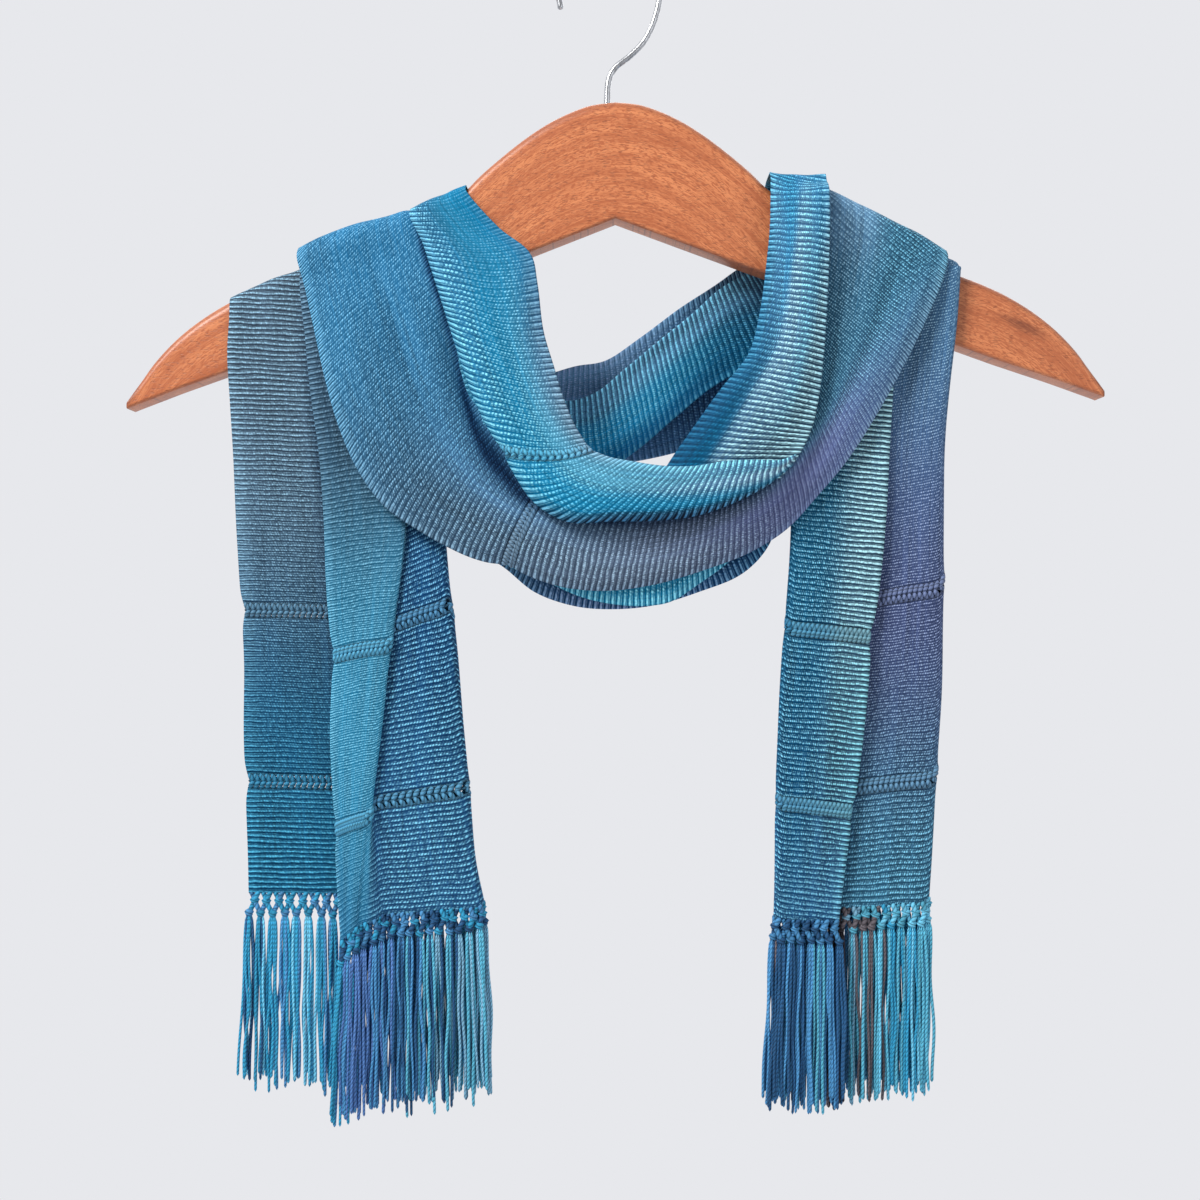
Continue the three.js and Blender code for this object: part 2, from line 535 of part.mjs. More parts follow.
const RIGHT_LEG = named(
  ['startZ', 'turnZ', 'endZ', 'hidden', 'rightX', 'leftX', 'frontX', 'liftA', 'liftB', 'liftC'],
  [
    [-152, -152, -156, 10, 159.8, 84.5, 131, 1.8, 5.1, 8],
    [-172, -174, -176, 9, 158.1, 84, 130.4, 1.6, 5, 8.2],
    [-203, -204, -204, 8, 154.8, 83.6, 128.6, 1.6, 5.2, 8.6],
    [-235, -235, -235, 8, 152.4, 83.2, 126.8, 1.6, 5.4, 9],
    [-268, -268, -268, 8, 151.6, 83, 124.8, 1.6, 6, 10],
    [-300, -300, -300, 8, 151.6, 81, 121.6, 1.6, 6.4, 10.8],
    [-318, -318, -318, 8, 151.2, 79.5, 118.8, 1.6, 6.6, 11.2],
    [-350, -350, -350, 8, 150.5, 77, 116, 1.6, 6.8, 11.4],
    [-385, -385, -385, 8, 148.6, 75.8, 112, 1.6, 6.8, 11.4],
    [-417, -417, -418, 8, 146.6, 75.2, 107, 1.6, 6.6, 11.2],
    [-438, -439, -447.8, 8, 145.2, 74.7, 103.6, 1.6, 6.4, 10.8],
  ],
);

// ---- fringes ------------------------------------------------------------------------------------------------

/** A short repeatable unevenness between -1 and 1 for the strand with this number. */
function uneven(number, seed) {
  return Math.sin(12.9898 * number + 78.233 * seed) * Math.cos(4.1414 * number + seed);
}

/** One strand: a three-sided prism along a root, a bend and a tip. */
function strand(root, bend, tip) {
  const positions = [];
  for (const [point, radius] of [[root, STRAND_RADIUS], [bend, STRAND_RADIUS], [tip, STRAND_RADIUS * 0.8]]) {
    for (let side = 0; side < 3; side += 1) {
      const turn = (2 * Math.PI * side) / 3 - Math.PI / 2;
      positions.push(point.x + radius * Math.cos(turn), point.y + radius * Math.sin(turn), point.z);
    }
  }
  const index = [0, 1, 2, 6, 8, 7];
  for (let ring = 0; ring < 2; ring += 1) {
    for (let side = 0; side < 3; side += 1) {
      const [a, b] = [3 * ring + side, 3 * ring + ((side + 1) % 3)];
      index.push(a, a + 3, b + 3, a, b + 3, b);
    }
  }
  const geometry = new THREE.BufferGeometry();
  geometry.setAttribute('position', new THREE.Float32BufferAttribute(positions, 3));
  geometry.setIndex(index);
  return geometry;
}

/** Fringe on one run of a hem: a strip of knotted net with strands below it. The run is the part of the hem's
 *  line between two shares of its length. The tips spread evenly between two x and end between two heights. */
function fringe(hem, run) {
  const line = new THREE.CatmullRomCurve3(hem, false, 'centripetal');
  const columns = 32;
  const place = (t, drop) => line.getPointAt(lerp(run.from, run.to, t)).add(new THREE.Vector3(0, 0, -drop));
  const across = Array.from({ length: columns }, (_, j) => j / (columns - 1));
  const strip = [NET_GAP, NET_HEIGHT].map((drop) => across.map((t) => place(t, drop)));
  const strands = [];
  for (let k = 0; k < run.strands; k += 1) {
    const t = (k + 0.8) / (run.strands + 0.6);
    const stagger = run.rows === 2 ? STRAND_STAGGER * (k % 2 === 0 ? 1 : -1) : 0;
    const root = place(t, NET_HEIGHT - STRAND_ROOT);
    root.y += stagger * 0.4;
    const tip = new THREE.Vector3(root.x + lerp(run.spreadFrom, run.spreadTo, t), root.y + stagger,
      lerp(run.tipFrom, run.tipTo, t) - 2.2 * (1 + uneven(k, run.seed)));
    const bend = root.clone().lerp(tip, 0.4);
    bend.y = root.y + stagger * 0.6;
    strands.push(solid(strand(root, bend, tip)));
  }
  return geometryOf(wasm.Manifold.union([solid(wall(strip, NET_WALL)), ...strands]));
}

// ---- the whole ----------------------------------------------------------------------------------------------
const leftRows = legRows(LEFT_LEG, leftSection);
const rightRows = legRows(RIGHT_LEG, rightSection);
const leftHem = leftRows[leftRows.length - 1];
const rightHem = rightRows[rightRows.length - 1];

const scarf = new THREE.Group();
scarf.add(
  piece('leg_left', wall(leftRows, CLOTH), 0x2f6f8d, 0.75),
  piece('leg_right', wall(rightRows, CLOTH), 0x3d6f92, 0.75),
  piece('loop_outer', loopOuter(), 0x3c7390, 0.75),
  piece('loop_inner', loopInner(), 0x2b93ad, 0.7),
  piece('strap_right', strapRight(), 0x4a8eb4, 0.72),
  piece('underfold_near', wall(loopRows(UNDERFOLD_NEAR, 5), CLOTH), 0x3596b0, 0.75),
  piece('underfold_far', wall(loopRows(UNDERFOLD_FAR, 5), CLOTH), 0x334f78, 0.75),
  piece('back_loop_near', backLoop(BACK_NEAR, BACK_NEAR_JOINS), 0x2e86a8, 0.75),
  piece('back_loop_far', backLoop(BACK_FAR, BACK_FAR_JOINS), 0x2c3f63, 0.75),
  piece('fringe_left_back', fringe(leftHem, {
    from: 0, to: 0.55, strands: 48, rows: 1, spreadFrom: -2.5, spreadTo: 0, tipFrom: -520, tipTo: -524, seed: 1,
  }), 0x3f95b8, 0.7),
  piece('fringe_left_front', fringe(leftHem, {
    from: 0.6, to: 1, strands: 62, rows: 2, spreadFrom: 3, spreadTo: -3, tipFrom: -524, tipTo: -531, seed: 2,
  }), 0x41689c, 0.7),
  piece('fringe_right_back', fringe(rightHem, {
    from: 0, to: 0.72, strands: 60, rows: 1, spreadFrom: 0, spreadTo: 0, tipFrom: -522, tipTo: -528, seed: 3,
  }), 0x2d8496, 0.7),
  piece('fringe_right_front', fringe(rightHem, {
    from: 0.8, to: 1, strands: 28, rows: 2, spreadFrom: -4, spreadTo: 0, tipFrom: -525, tipTo: -528, seed: 4,
  }), 0x3a6ea6, 0.7),
);

const hanger = new THREE.Group();
hanger.add(
  piece('hanger_body', hangerBody(), 0xa85a33, 0.45),
  piece('hanger_hook', hangerHook(), 0xb9bec2, 0.25, 1),
);

const part = new THREE.Group();
part.add(scarf, hanger);

export default part;
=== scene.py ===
"""Looks of a long woven scarf with knotted fringes, wound over a wooden hanger.

Tables hold millimetres in the part's frame: +Z up, +X to the viewer's right, -Y to the viewer, origin at the seat
of the hook. Meshes are written in metres. The scarf is one panel that shows as nine stretches. Each stretch is a
sheet over a grid: rows of the grid run across the cloth (the way of the weft) and columns run along it (the way of
the warp).
"""
import logging
from dataclasses import dataclass, field
from enum import Enum
from typing import Callable, Optional, Sequence

import bpy
import numpy as np
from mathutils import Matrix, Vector


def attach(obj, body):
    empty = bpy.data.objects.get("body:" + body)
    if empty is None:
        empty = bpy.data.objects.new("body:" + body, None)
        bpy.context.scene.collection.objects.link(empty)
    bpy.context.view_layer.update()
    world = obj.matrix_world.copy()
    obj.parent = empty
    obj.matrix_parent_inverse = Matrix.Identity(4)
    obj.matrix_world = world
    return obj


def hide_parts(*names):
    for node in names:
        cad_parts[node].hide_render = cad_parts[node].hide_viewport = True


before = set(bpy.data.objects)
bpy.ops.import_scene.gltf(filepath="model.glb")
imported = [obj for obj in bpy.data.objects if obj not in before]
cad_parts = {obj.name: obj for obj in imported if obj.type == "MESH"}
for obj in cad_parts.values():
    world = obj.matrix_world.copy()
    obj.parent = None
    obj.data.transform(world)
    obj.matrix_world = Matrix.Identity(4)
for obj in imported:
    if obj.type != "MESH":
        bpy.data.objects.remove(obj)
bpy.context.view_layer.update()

LOG = logging.getLogger("scarf")
MM = 0.001
BODY = "root"
Array = np.ndarray
DEPTH_WAY = np.array([0.0, 1.0, 0.0])


# ---- colours ------------------------------------------------------------------------------------------------
class Dye(Enum):
    """Bath colours of the cloth, as display RGB from 0 to 255: its grounds, and from ICE on its light weft lines."""

    TURQUOISE = (28, 112, 148)
    BRIGHT_TURQUOISE = (4, 114, 156)
    GREY_TURQUOISE = (72, 152, 184)
    LAGOON = (22, 150, 206)
    SEA_BLUE = (30, 100, 142)
    STEEL_BLUE = (54, 103, 142)
    TEAL = (40, 88, 117)
    BLUE_TEAL = (30, 88, 124)
    DARK_TEAL = (2, 56, 88)
    DEEP_TURQUOISE = (4, 78, 114)
    OCEAN = (2, 66, 104)
    BLUE = (30, 78, 122)
    INDIGO = (8, 62, 108)
    DUSK_BLUE = (62, 102, 138)
    SLATE = (44, 72, 96)
    DARK_SLATE = (36, 60, 80)
    GREY_SLATE = (84, 100, 124)
    BROWN_SLATE = (54, 70, 88)
    PALE_SLATE = (104, 148, 186)
    DUSK_PURPLE = (90, 98, 148)
    PURPLE = (58, 70, 110)
    # Painted shade: a navy ground for the pockets under the folds.
    PAINTED_SHADE_NAVY = (8, 26, 50)
    ICE = (190, 244, 255)
    PALE_TURQUOISE = (152, 238, 255)
    CLEAR_SKY = (96, 206, 246)
    SKY = (136, 218, 250)
    AIR_BLUE = (126, 198, 238)
    MIST = (157, 203, 230)
    PEARL = (174, 203, 226)
    SLATE_MIST = (134, 177, 207)
    LILAC_GREY = (162, 177, 217)
    DIM_BLUE = (86, 166, 206)
    MID_BLUE = (112, 188, 228)


class Yarn(Enum):
    """Colours of the fringes' strands and cords, as display RGB from 0 to 255."""

    LIGHT = (104, 184, 214)
    TURQUOISE = (50, 142, 180)
    BLUE = (70, 130, 176)
    PURPLE = (78, 116, 172)
    SLATE = (112, 160, 186)
    TEAL = (82, 160, 186)
    NIGHT = (40, 82, 122)
    BROWN = (98, 92, 98)
    BLACK = (46, 42, 48)


def linear(display: Sequence[float]) -> Array:
    """Scene-linear colour of a display colour, by the sRGB curve.

    Args:
        display: Red, green and blue from 0 to 255.

    Returns:
        The three linear values from 0 to 1.
    """
    share = np.asarray(display, float) / 255
    return np.where(share <= 0.04045, share / 12.92, ((share + 0.055) / 1.055) ** 2.4)


def rgba(display: Sequence[float]) -> tuple[float, ...]:
    """Scene-linear colour of a display colour, with full alpha, for a colour socket."""
    return (*linear(display), 1.0)


# ---- surfaces -----------------------------------------------------------------------------------------------
def spline(rows: Array, per_span: int) -> Array:
    """Centripetal Catmull-Rom curves through every column of points.

    Each span is the cubic from its two points and its two tangents, and a tangent weighs the chords beside it by the
    square root of their lengths.

    Args:
        rows: Points, as rows by columns by three.
        per_span: Number of steps between two rows.

    Returns:
        The finer rows, with the given ones among them.
    """
    points = np.concatenate([2 * rows[:1] - rows[1:2], rows, 2 * rows[-1:] - rows[-2:-1]])
    chord = np.linalg.norm(np.diff(points, axis=0), axis=-1, keepdims=True)
    knot = np.sqrt(np.maximum(chord, 1e-6))
    before, here, after = knot[:-2], knot[1:-1], knot[2:]
    p0, p1, p2, p3 = points[:-3], points[1:-2], points[2:-1], points[3:]
    leave = ((p1 - p0) / before - (p2 - p0) / (before + here) + (p2 - p1) / here) * here
    reach = ((p2 - p1) / here - (p3 - p1) / (here + after) + (p3 - p2) / after) * here
    s = (np.arange(per_span) / per_span)[None, :, None, None]
    p0, p1, p2, leave, reach = (x[:, None] for x in (p1, p2, p2, leave, reach))
    cubic = p0 + leave * s + (3 * (p1 - p0) - 2 * leave - reach) * s**2 + (2 * (p0 - p1) + leave + reach) * s**3
    return np.concatenate([cubic.reshape(-1, *rows.shape[1:]), rows[-1:]])


def fine_grid(coarse: Array, per_row: int, per_column: int) -> Array:
    """Splines a coarse grid both ways."""
    rows = spline(coarse, per_row)
    return spline(rows.transpose(1, 0, 2), per_column).transpose(1, 0, 2)


def unit(vectors: Array) -> Array:
    """Vectors of length one."""
    return vectors / np.maximum(np.linalg.norm(vectors, axis=-1, keepdims=True), 1e-9)


def grid_normals(grid: Array) -> Array:
    """Unit normals of a grid: way down the rows crossed with way across them."""
    return unit(np.cross(np.gradient(grid, axis=0), np.gradient(grid, axis=1)))


def run_length(grid: Array, axis: int) -> Array:
    """Length walked along one axis of a grid, from its first row or column."""
    step = np.linalg.norm(np.diff(grid, axis=axis), axis=-1)
    return np.concatenate([np.zeros_like(np.take(step, [0], axis)), np.cumsum(step, axis)], axis)


def smoothstep(low: float, high: float, x: Array) -> Array:
    """0 below low, 1 above high, and 3t^2 - 2t^3 between them."""
    t = np.clip((x - low) / (high - low), 0, 1)
    return t * t * (3 - 2 * t)


def through(start: Array, middle: Array, end: Array, t: Array) -> Array:
    """The parabola with three given values at t = 0, 0.5 and 1."""
    return start * (1 - t) * (1 - 2 * t) + middle * 4 * t * (1 - t) + end * t * (2 * t - 1)


# ---- meshes -------------------------------------------------------------------------------------------------
@dataclass
class Cast:
    """A mesh in the making: points in millimetres, faces, a UV for each corner of each face, and point data."""

    points: Array
    faces: Array
    uv: Optional[Array] = None
    colours: dict[str, Array] = field(default_factory=dict)
    values: dict[str, Array] = field(default_factory=dict)

    def piece(self, name: str, material: bpy.types.Material, slot: str) -> bpy.types.Object:
        """Writes the mesh and hangs it on the part.

        Args:
            name: Name of the object.
            material: Its finish.
            slot: Not used.

        Returns:
            The new object, smooth shaded and riding on the part's body.
        """
        used, index = np.unique(self.faces, return_inverse=True)
        faces = index.reshape(self.faces.shape)
        mesh = bpy.data.meshes.new(name)
        corners = faces.shape[1]
        mesh.vertices.add(len(used))
        mesh.vertices.foreach_set("co", (self.points[used] * MM).astype(np.float32).ravel())
        mesh.loops.add(faces.size)
        mesh.loops.foreach_set("vertex_index", faces.astype(np.int32).ravel())
        mesh.polygons.add(len(faces))
        mesh.polygons.foreach_set("loop_start", np.arange(0, faces.size, corners, dtype=np.int32))
        mesh.polygons.foreach_set("use_smooth", np.ones(len(faces), bool))
        if self.uv is not None:
            layer = mesh.uv_layers.new(name="yarn")
            layer.data.foreach_set("uv", self.uv.astype(np.float32).ravel())
        for label, colour in self.colours.items():
            rgba = np.concatenate([colour[used], np.ones((len(used), 1))], axis=1)
            attribute = mesh.attributes.new(label, "FLOAT_COLOR", "POINT")
            attribute.data.foreach_set("color", rgba.astype(np.float32).ravel())
        for label, value in self.values.items():
            attribute = mesh.attributes.new(label, "FLOAT", "POINT")
            attribute.data.foreach_set("value", value[used].astype(np.float32))
        mesh.update(calc_edges=True)
        mesh.validate()
        mesh.materials.append(material)
        made = bpy.data.objects.new(name, mesh)
        bpy.context.scene.collection.objects.link(made)
        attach(made, BODY)
        return made


def join(casts: Sequence[Cast]) -> Cast:
    """One cast of several that have the same kinds of data.

    Args:
        casts: The meshes to join.

    Returns:
        The joined mesh.
    """
    start = np.cumsum([0] + [len(c.points) for c in casts[:-1]])
    return Cast(
        np.concatenate([c.points for c in casts]),
        np.concatenate([c.faces + s for c, s in zip(casts, start)]),
        None if casts[0].uv is None else np.concatenate([c.uv for c in casts]),
        {k: np.concatenate([c.colours[k] for c in casts]) for k in casts[0].colours},
        {k: np.concatenate([c.values[k] for c in casts]) for k in casts[0].values},
    )


def quads(rows: int, columns: int, closed: bool = False) -> Array:
    """Faces of a grid of points, wound from its rows to its columns, and round its columns where it is closed.

    Args:
        rows: Number of its rows.
        columns: Number of points in a row.
        closed: Whether the last column meets the first.

    Returns:
        Four point numbers for each face.
    """
    i, j = np.meshgrid(np.arange(rows - 1), np.arange(columns if closed else columns - 1), indexing="ij")
    k = (j + 1) % columns
    corners = [i * columns + j, (i + 1) * columns + j, (i + 1) * columns + k, i * columns + k]
    return np.stack(corners, axis=-1).reshape(-1, 4)


def tube_uv(along: Array, sides: int) -> Array:
    """UV of the corners of tubes: u round them from 0 to 1, v the given millimetres along them.

    Args:
        along: Millimetres at each station, as tubes by stations.
        sides: Faces round a tube.

    Returns:
        The corners, in the order of the faces that quads makes for each tube.
    """
    j = np.arange(sides)
    u = np.stack([j, j, j + 1, j + 1], axis=-1) / sides
    low, high = along[:, :-1, None, None], along[:, 1:, None, None]
    v = np.concatenate([low, high, high, low], axis=-1)
    return np.stack(np.broadcast_arrays(u[None, None], v), axis=-1).reshape(-1, 4, 2)


def cords(paths: Array, radius: Array, dye: Array, sides: int = 6) -> Cast:
    """Round cords along many paths at once, drawn to a point at both ends. Their finish paints their twist as light
    and shade.

    Args:
        paths: Centre lines, as cords by stations by three.
        radius: Radius at each station, as cords by stations.
        dye: Linear colour at each station, as cords by stations by three.
        sides: Points round a section.

    Returns:
        The cords.
    """
    count, stations = paths.shape[:2]
    way = unit(np.gradient(paths, axis=1))
    side = unit(np.cross(way, DEPTH_WAY))
    front = np.cross(side, way)
    ring = 2 * np.pi * np.arange(sides) / sides
    taper = np.ones(stations)
    taper[[0, -1]] = 0.2
    size = (radius * taper)[..., None, None]
    points = paths[:, :, None] + size * (
        np.cos(ring)[:, None] * side[:, :, None] + np.sin(ring)[:, None] * front[:, :, None]
    )
    faces = quads(stations, sides, closed=True)
    faces = (faces[None] + (np.arange(count) * stations * sides)[:, None, None]).reshape(-1, 4)
    colour = np.broadcast_to(dye[:, :, None], (count, stations, sides, 3))
    uv = tube_uv(run_length(paths, 1), sides)
    return Cast(points.reshape(-1, 3), faces, uv, {"dye": colour.reshape(-1, 3)})


def knots(centres: Array, size: tuple[float, float, float], dye: Array) -> Cast:
    """Small knots: balls with wound ridges, r = 1 + 0.16 sin(2 longitude + 5 latitude) cos(latitude).

    Args:
        centres: Middle of each knot.
        size: Half of its width, depth and height.
        dye: Linear colour of each knot.

    Returns:
        The knots as one cast.
    """
    rows, around = 8, 12
    latitude = np.linspace(-np.pi / 2, np.pi / 2, rows)[:, None]
    longitude = 2 * np.pi * np.arange(around)[None] / around
    bulge = 1 + 0.16 * np.sin(2 * longitude + 5 * latitude) * np.cos(latitude)
    ball = np.stack(
        [np.cos(latitude) * np.cos(longitude), np.cos(latitude) * np.sin(longitude), np.sin(latitude) + 0 * longitude],
        axis=-1,
    ) * bulge[..., None]
    points = centres[:, None, None] + ball[None] * np.array(size)
    faces = quads(rows, around, closed=True)[:, ::-1]
    faces = (faces[None] + (np.arange(len(centres)) * rows * around)[:, None, None]).reshape(-1, 4)
    uv = tube_uv(np.broadcast_to(2 * latitude[:, 0], (len(centres), rows)), around)[:, ::-1]
    colour = np.broadcast_to(dye[:, None, None], (len(centres), rows, around, 3))
    return Cast(points.reshape(-1, 3), faces, uv, {"dye": colour.reshape(-1, 3)})


# ---- shader nodes -------------------------------------------------------------------------------------------
Socket = bpy.types.NodeSocket


class Graph:
    """Short calls that add nodes to one tree. Their numbers may be plain ones or sockets."""

    def __init__(self, tree: bpy.types.NodeTree) -> None:
        """Starts on a tree."""
        self.tree = tree

    def feed(self, node: bpy.types.Node, inputs: dict) -> None:
        """Links or sets inputs of a node, given by name or number.

        Args:
            node: The node.
            inputs: Value or feeding socket of each input, by name or number.
        """
        for key, value in inputs.items():
            if isinstance(value, Socket):
                self.tree.links.new(value, node.inputs[key])
            else:
                node.inputs[key].default_value = value

    def node(self, kind: str, inputs: Optional[dict] = None, **settings: object) -> bpy.types.Node:
        """Adds a node.

        Args:
            kind: Its Blender type.
            inputs: Value or feeding socket of each input, by name or number.
            **settings: Its other properties.

        Returns:
            The node.
        """
        made = self.tree.nodes.new(kind)
        for key, value in settings.items():
            setattr(made, key, value)
        self.feed(made, inputs or {})
        return made

    def math(self, operation: str, a: object, b: object = 0.0, c: object = 0.0) -> Socket:
        """Adds a Math node."""
        return self.node("ShaderNodeMath", {0: a, 1: b, 2: c}, operation=operation).outputs[0]

    def times(self, a: object, b: object) -> Socket:
        """Product of two numbers."""
        return self.math("MULTIPLY", a, b)

    def plus(self, a: object, b: object) -> Socket:
        """Sum of two numbers."""
        return self.math("ADD", a, b)

    def minus(self, a: object, b: object) -> Socket:
        """First number less the second."""
        return self.math("SUBTRACT", a, b)

    def mix(self, factor: object, a: object, b: object, blend: str = "MIX") -> Socket:
        """Adds a colour Mix node."""
        made = self.node("ShaderNodeMix", {0: factor, 6: a, 7: b}, data_type="RGBA", blend_type=blend)
        return made.outputs[2]

    def span(self, value: object, low: float, high: float, out_low: float = 0.0, out_high: float = 1.0) -> Socket:
        """Adds a smooth Map Range node."""
        sockets = {0: value, 1: low, 2: high, 3: out_low, 4: out_high}
        return self.node("ShaderNodeMapRange", sockets, interpolation_type="SMOOTHSTEP").outputs[0]

    def noise(self, *place: object, detail: float = 2.0, roughness: float = 0.5) -> Socket:
        """Adds a Noise texture.

        Args:
            *place: The three numbers of its point, each a pair of a socket and its factor, or a plain number.
            detail: Its octaves.
            roughness: Weight of each finer octave.

        Returns:
            Its value.
        """
        scaled = [self.times(*number) if isinstance(number, tuple) else number for number in place]
        where = self.node("ShaderNodeCombineXYZ", dict(enumerate(scaled))).outputs[0]
        sockets = {"Vector": where, "Scale": 1.0, "Detail": detail, "Roughness": roughness}
        return self.node("ShaderNodeTexNoise", sockets).outputs["Fac"]

    def wave(self, x: object, period: object) -> Socket:
        """Sine of x with a period, from -1 to 1."""
        return self.math("SINE", self.times(self.math("DIVIDE", x, period), 2 * np.pi))

    def split(self, vector: Socket) -> Sequence[Socket]:
        """The three numbers of a vector."""
        return self.node("ShaderNodeSeparateXYZ", {0: vector}).outputs

    def attribute(self, name: str, output: str = "Color") -> Socket:
        """Colour or number that the mesh holds under a name."""
        return self.node("ShaderNodeAttribute", attribute_name=name).outputs[output]

    def yarn(self) -> Socket:
        """UV of the yarns."""
        return self.node("ShaderNodeUVMap", uv_map="yarn").outputs[0]

    def object_mm(self, axes: Sequence[int]) -> list[Socket]:
        """Object coordinates along the given axes, in millimetres."""
        place = self.split(self.node("ShaderNodeTexCoord").outputs["Object"])
        return [self.times(place[k], 1000.0) for k in axes]

    def bump(self, height: Socket, distance: float, strength: float) -> Socket:
        """Normal of a relief."""
        return self.node("ShaderNodeBump", {"Height": height, "Distance": distance, "Strength": strength}).outputs[0]


def new_group(name: str, inputs: dict[str, tuple], outputs: dict[str, str], build: Callable) -> bpy.types.NodeTree:
    """Makes a shader node group.

    Args:
        name: Its name.
        inputs: Kind and default value of each input.
        outputs: Kind of each output.
        build: Function of a Graph and the inputs by name that returns the socket of each output by name.

    Returns:
        The group's tree.
    """
    tree = bpy.data.node_groups.new(name, "ShaderNodeTree")
    for label, (kind, value) in inputs.items():
        socket = tree.interface.new_socket(label, in_out="INPUT", socket_type=f"NodeSocket{kind}")
        if value is not None:
            socket.default_value = value
    for label, kind in outputs.items():
        tree.interface.new_socket(label, in_out="OUTPUT", socket_type=f"NodeSocket{kind}")
    graph = Graph(tree)
    start, end = graph.node("NodeGroupInput"), graph.node("NodeGroupOutput")
    for label, socket in build(graph, start.outputs).items():
        tree.links.new(socket, end.inputs[label])
    return tree


def weave_parts(graph: Graph, given: object) -> dict[str, Socket]:
    """Light weft lines on a space-dye ground.

    A line is a sine along the warp, cut into beads by a sine across it that steps aside from line to line. Where
    Fine is high, lines of half the pitch take its place, and where Solid is high it has no beads. The ground has
    streaks along the warp, broad bands that stand partly for painted shade of soft valleys, and painted shade in
    the troughs between wide lines.

    Args:
        graph: The group's graph.
        given: Its inputs: Yarn (across and along in millimetres), Ground, Line, Solid, Fine, Bold, Pitch and Bead.

    Returns:
        The sockets Color and Height.
    """
    x, y, _ = graph.split(given["Yarn"])
    # Place along the warp, with the slow drift and the fine tremble of a hand-woven line.
    drift = graph.noise((x, 0.05), (y, 0.1), 3.0)
    tremble = graph.noise((x, 0.5), (y, 0.6), 7.0, detail=1.0)
    level = graph.plus(y, graph.times(graph.minus(drift, 0.5), 2.2))
    level = graph.plus(level, graph.times(graph.minus(tremble, 0.5), 0.5))
    # Wide lines, and thin ones in patches.
    patchy = graph.noise((x, 0.25), (y, 0.5), 9.0)
    fine = graph.math("MULTIPLY_ADD", graph.minus(patchy, 0.5), 0.9, given["Fine"])
    fine = graph.math("MINIMUM", graph.math("MAXIMUM", fine, 0.0), 1.0)
    wide = graph.minus(1.0, fine)
    swing = graph.wave(level, given["Pitch"])
    half = graph.wave(level, graph.times(given["Pitch"], 0.5))
    wide_line = graph.times(graph.span(swing, 0.2, 0.8), wide)
    thin_line = graph.times(graph.span(half, -0.05, 0.75), graph.math("MULTIPLY_ADD", fine, 0.8, 0.2))
    line = graph.math("MINIMUM", graph.plus(wide_line, thin_line), 1.0)
    # Beads across the lines.
    aside = graph.math("MULTIPLY_ADD", level, 0.42, graph.times(tremble, 0.8))
    bead = graph.span(graph.wave(graph.plus(x, aside), given["Bead"]), -0.7, 0.5)
    beaded = graph.math("MAXIMUM", graph.math("MULTIPLY_ADD", bead, 0.86, 0.14), given["Solid"])
    # Streaks of the ground, broad bands that are partly painted shade of soft valleys, and painted shade in the
    # troughs between wide lines.
    streak = graph.noise((x, 1.1), (y, 0.012), 1.0, detail=3.0, roughness=0.6)
    broad = graph.noise((x, 0.09), (y, 0.008), 5.0)
    shade = graph.times(graph.span(streak, 0.25, 0.75, 0.68, 1.28), graph.span(broad, 0.3, 0.7, 0.8, 1.18))
    # Painted shade: the ground darkens by up to 0.3 in the troughs between wide lines.
    trough = graph.times(graph.span(swing, -0.9, 0.1, 0.3, 0.0), wide)
    ground = graph.mix(1.0, given["Ground"], graph.times(shade, graph.minus(1.0, trough)), "MULTIPLY")
    # Cover of the lines, broken up by specks where they are not solid.
    speck = graph.noise((x, 0.75), (y, 0.8), 11.0, detail=1.0)
    speck = graph.math("MAXIMUM", graph.span(speck, 0.36, 0.62, 0.15, 1.3), graph.times(given["Solid"], 0.85))
    cover = graph.times(graph.times(graph.times(line, beaded), given["Bold"]), speck)
    relief = graph.times(line, graph.math("MULTIPLY_ADD", bead, 0.5, 0.5))
    return {"Color": graph.mix(cover, ground, given["Line"]), "Height": relief}


WEAVE = new_group(
    "weft_lines",
    {
        "Yarn": ("Vector", None),
        "Ground": ("Color", (0.1, 0.2, 0.4, 1.0)),
        "Line": ("Color", (0.5, 0.7, 0.8, 1.0)),
        "Solid": ("Float", 0.0),
        "Fine": ("Float", 0.0),
        "Bold": ("Float", 1.0),
        "Pitch": ("Float", 2.4),
        "Bead": ("Float", 1.15),
    },
    {"Color": "Color", "Height": "Float"},
    weave_parts,
)


def new_material(name: str) -> tuple[bpy.types.Material, Graph, bpy.types.Node]:
    """An empty material with its graph and its Principled shader.

    Args:
        name: Its name.

    Returns:
        The material, its graph and its shader.
    """
    made = bpy.data.materials.new(name)
    made.use_nodes = True
    made.node_tree.nodes.clear()
    graph = Graph(made.node_tree)
    shader = graph.node("ShaderNodeBsdfPrincipled")
    graph.node("ShaderNodeOutputMaterial", {"Surface": shader.outputs[0]})
    return made, graph, shader


@dataclass(frozen=True)
class WeaveFinish:
    """Woven cloth: light weft lines on a dyed ground, nearly matt."""

    name: str
    pitch: float = 2.45
    bead: float = 1.15
    roughness: float = 0.65
    gloss: float = 0.08

    def build(self) -> bpy.types.Material:
        """Makes the material.

        Returns:
            The material.
        """
        made, graph, shader = new_material(self.name)
        inputs = {"Yarn": graph.yarn(), "Pitch": self.pitch, "Bead": self.bead}
        inputs |= {label: graph.attribute(label.lower()) for label in ("Ground", "Line")}
        inputs |= {label: graph.attribute(label.lower(), "Fac") for label in ("Solid", "Fine", "Bold")}
        weave = graph.node("ShaderNodeGroup", inputs, node_tree=WEAVE).outputs
        graph.feed(shader, {
            "Base Color": weave["Color"],
            "Normal": graph.bump(weave["Height"], 0.0002, 0.2),
            "Roughness": self.roughness,
            "Specular IOR Level": self.gloss,
        })
        return made


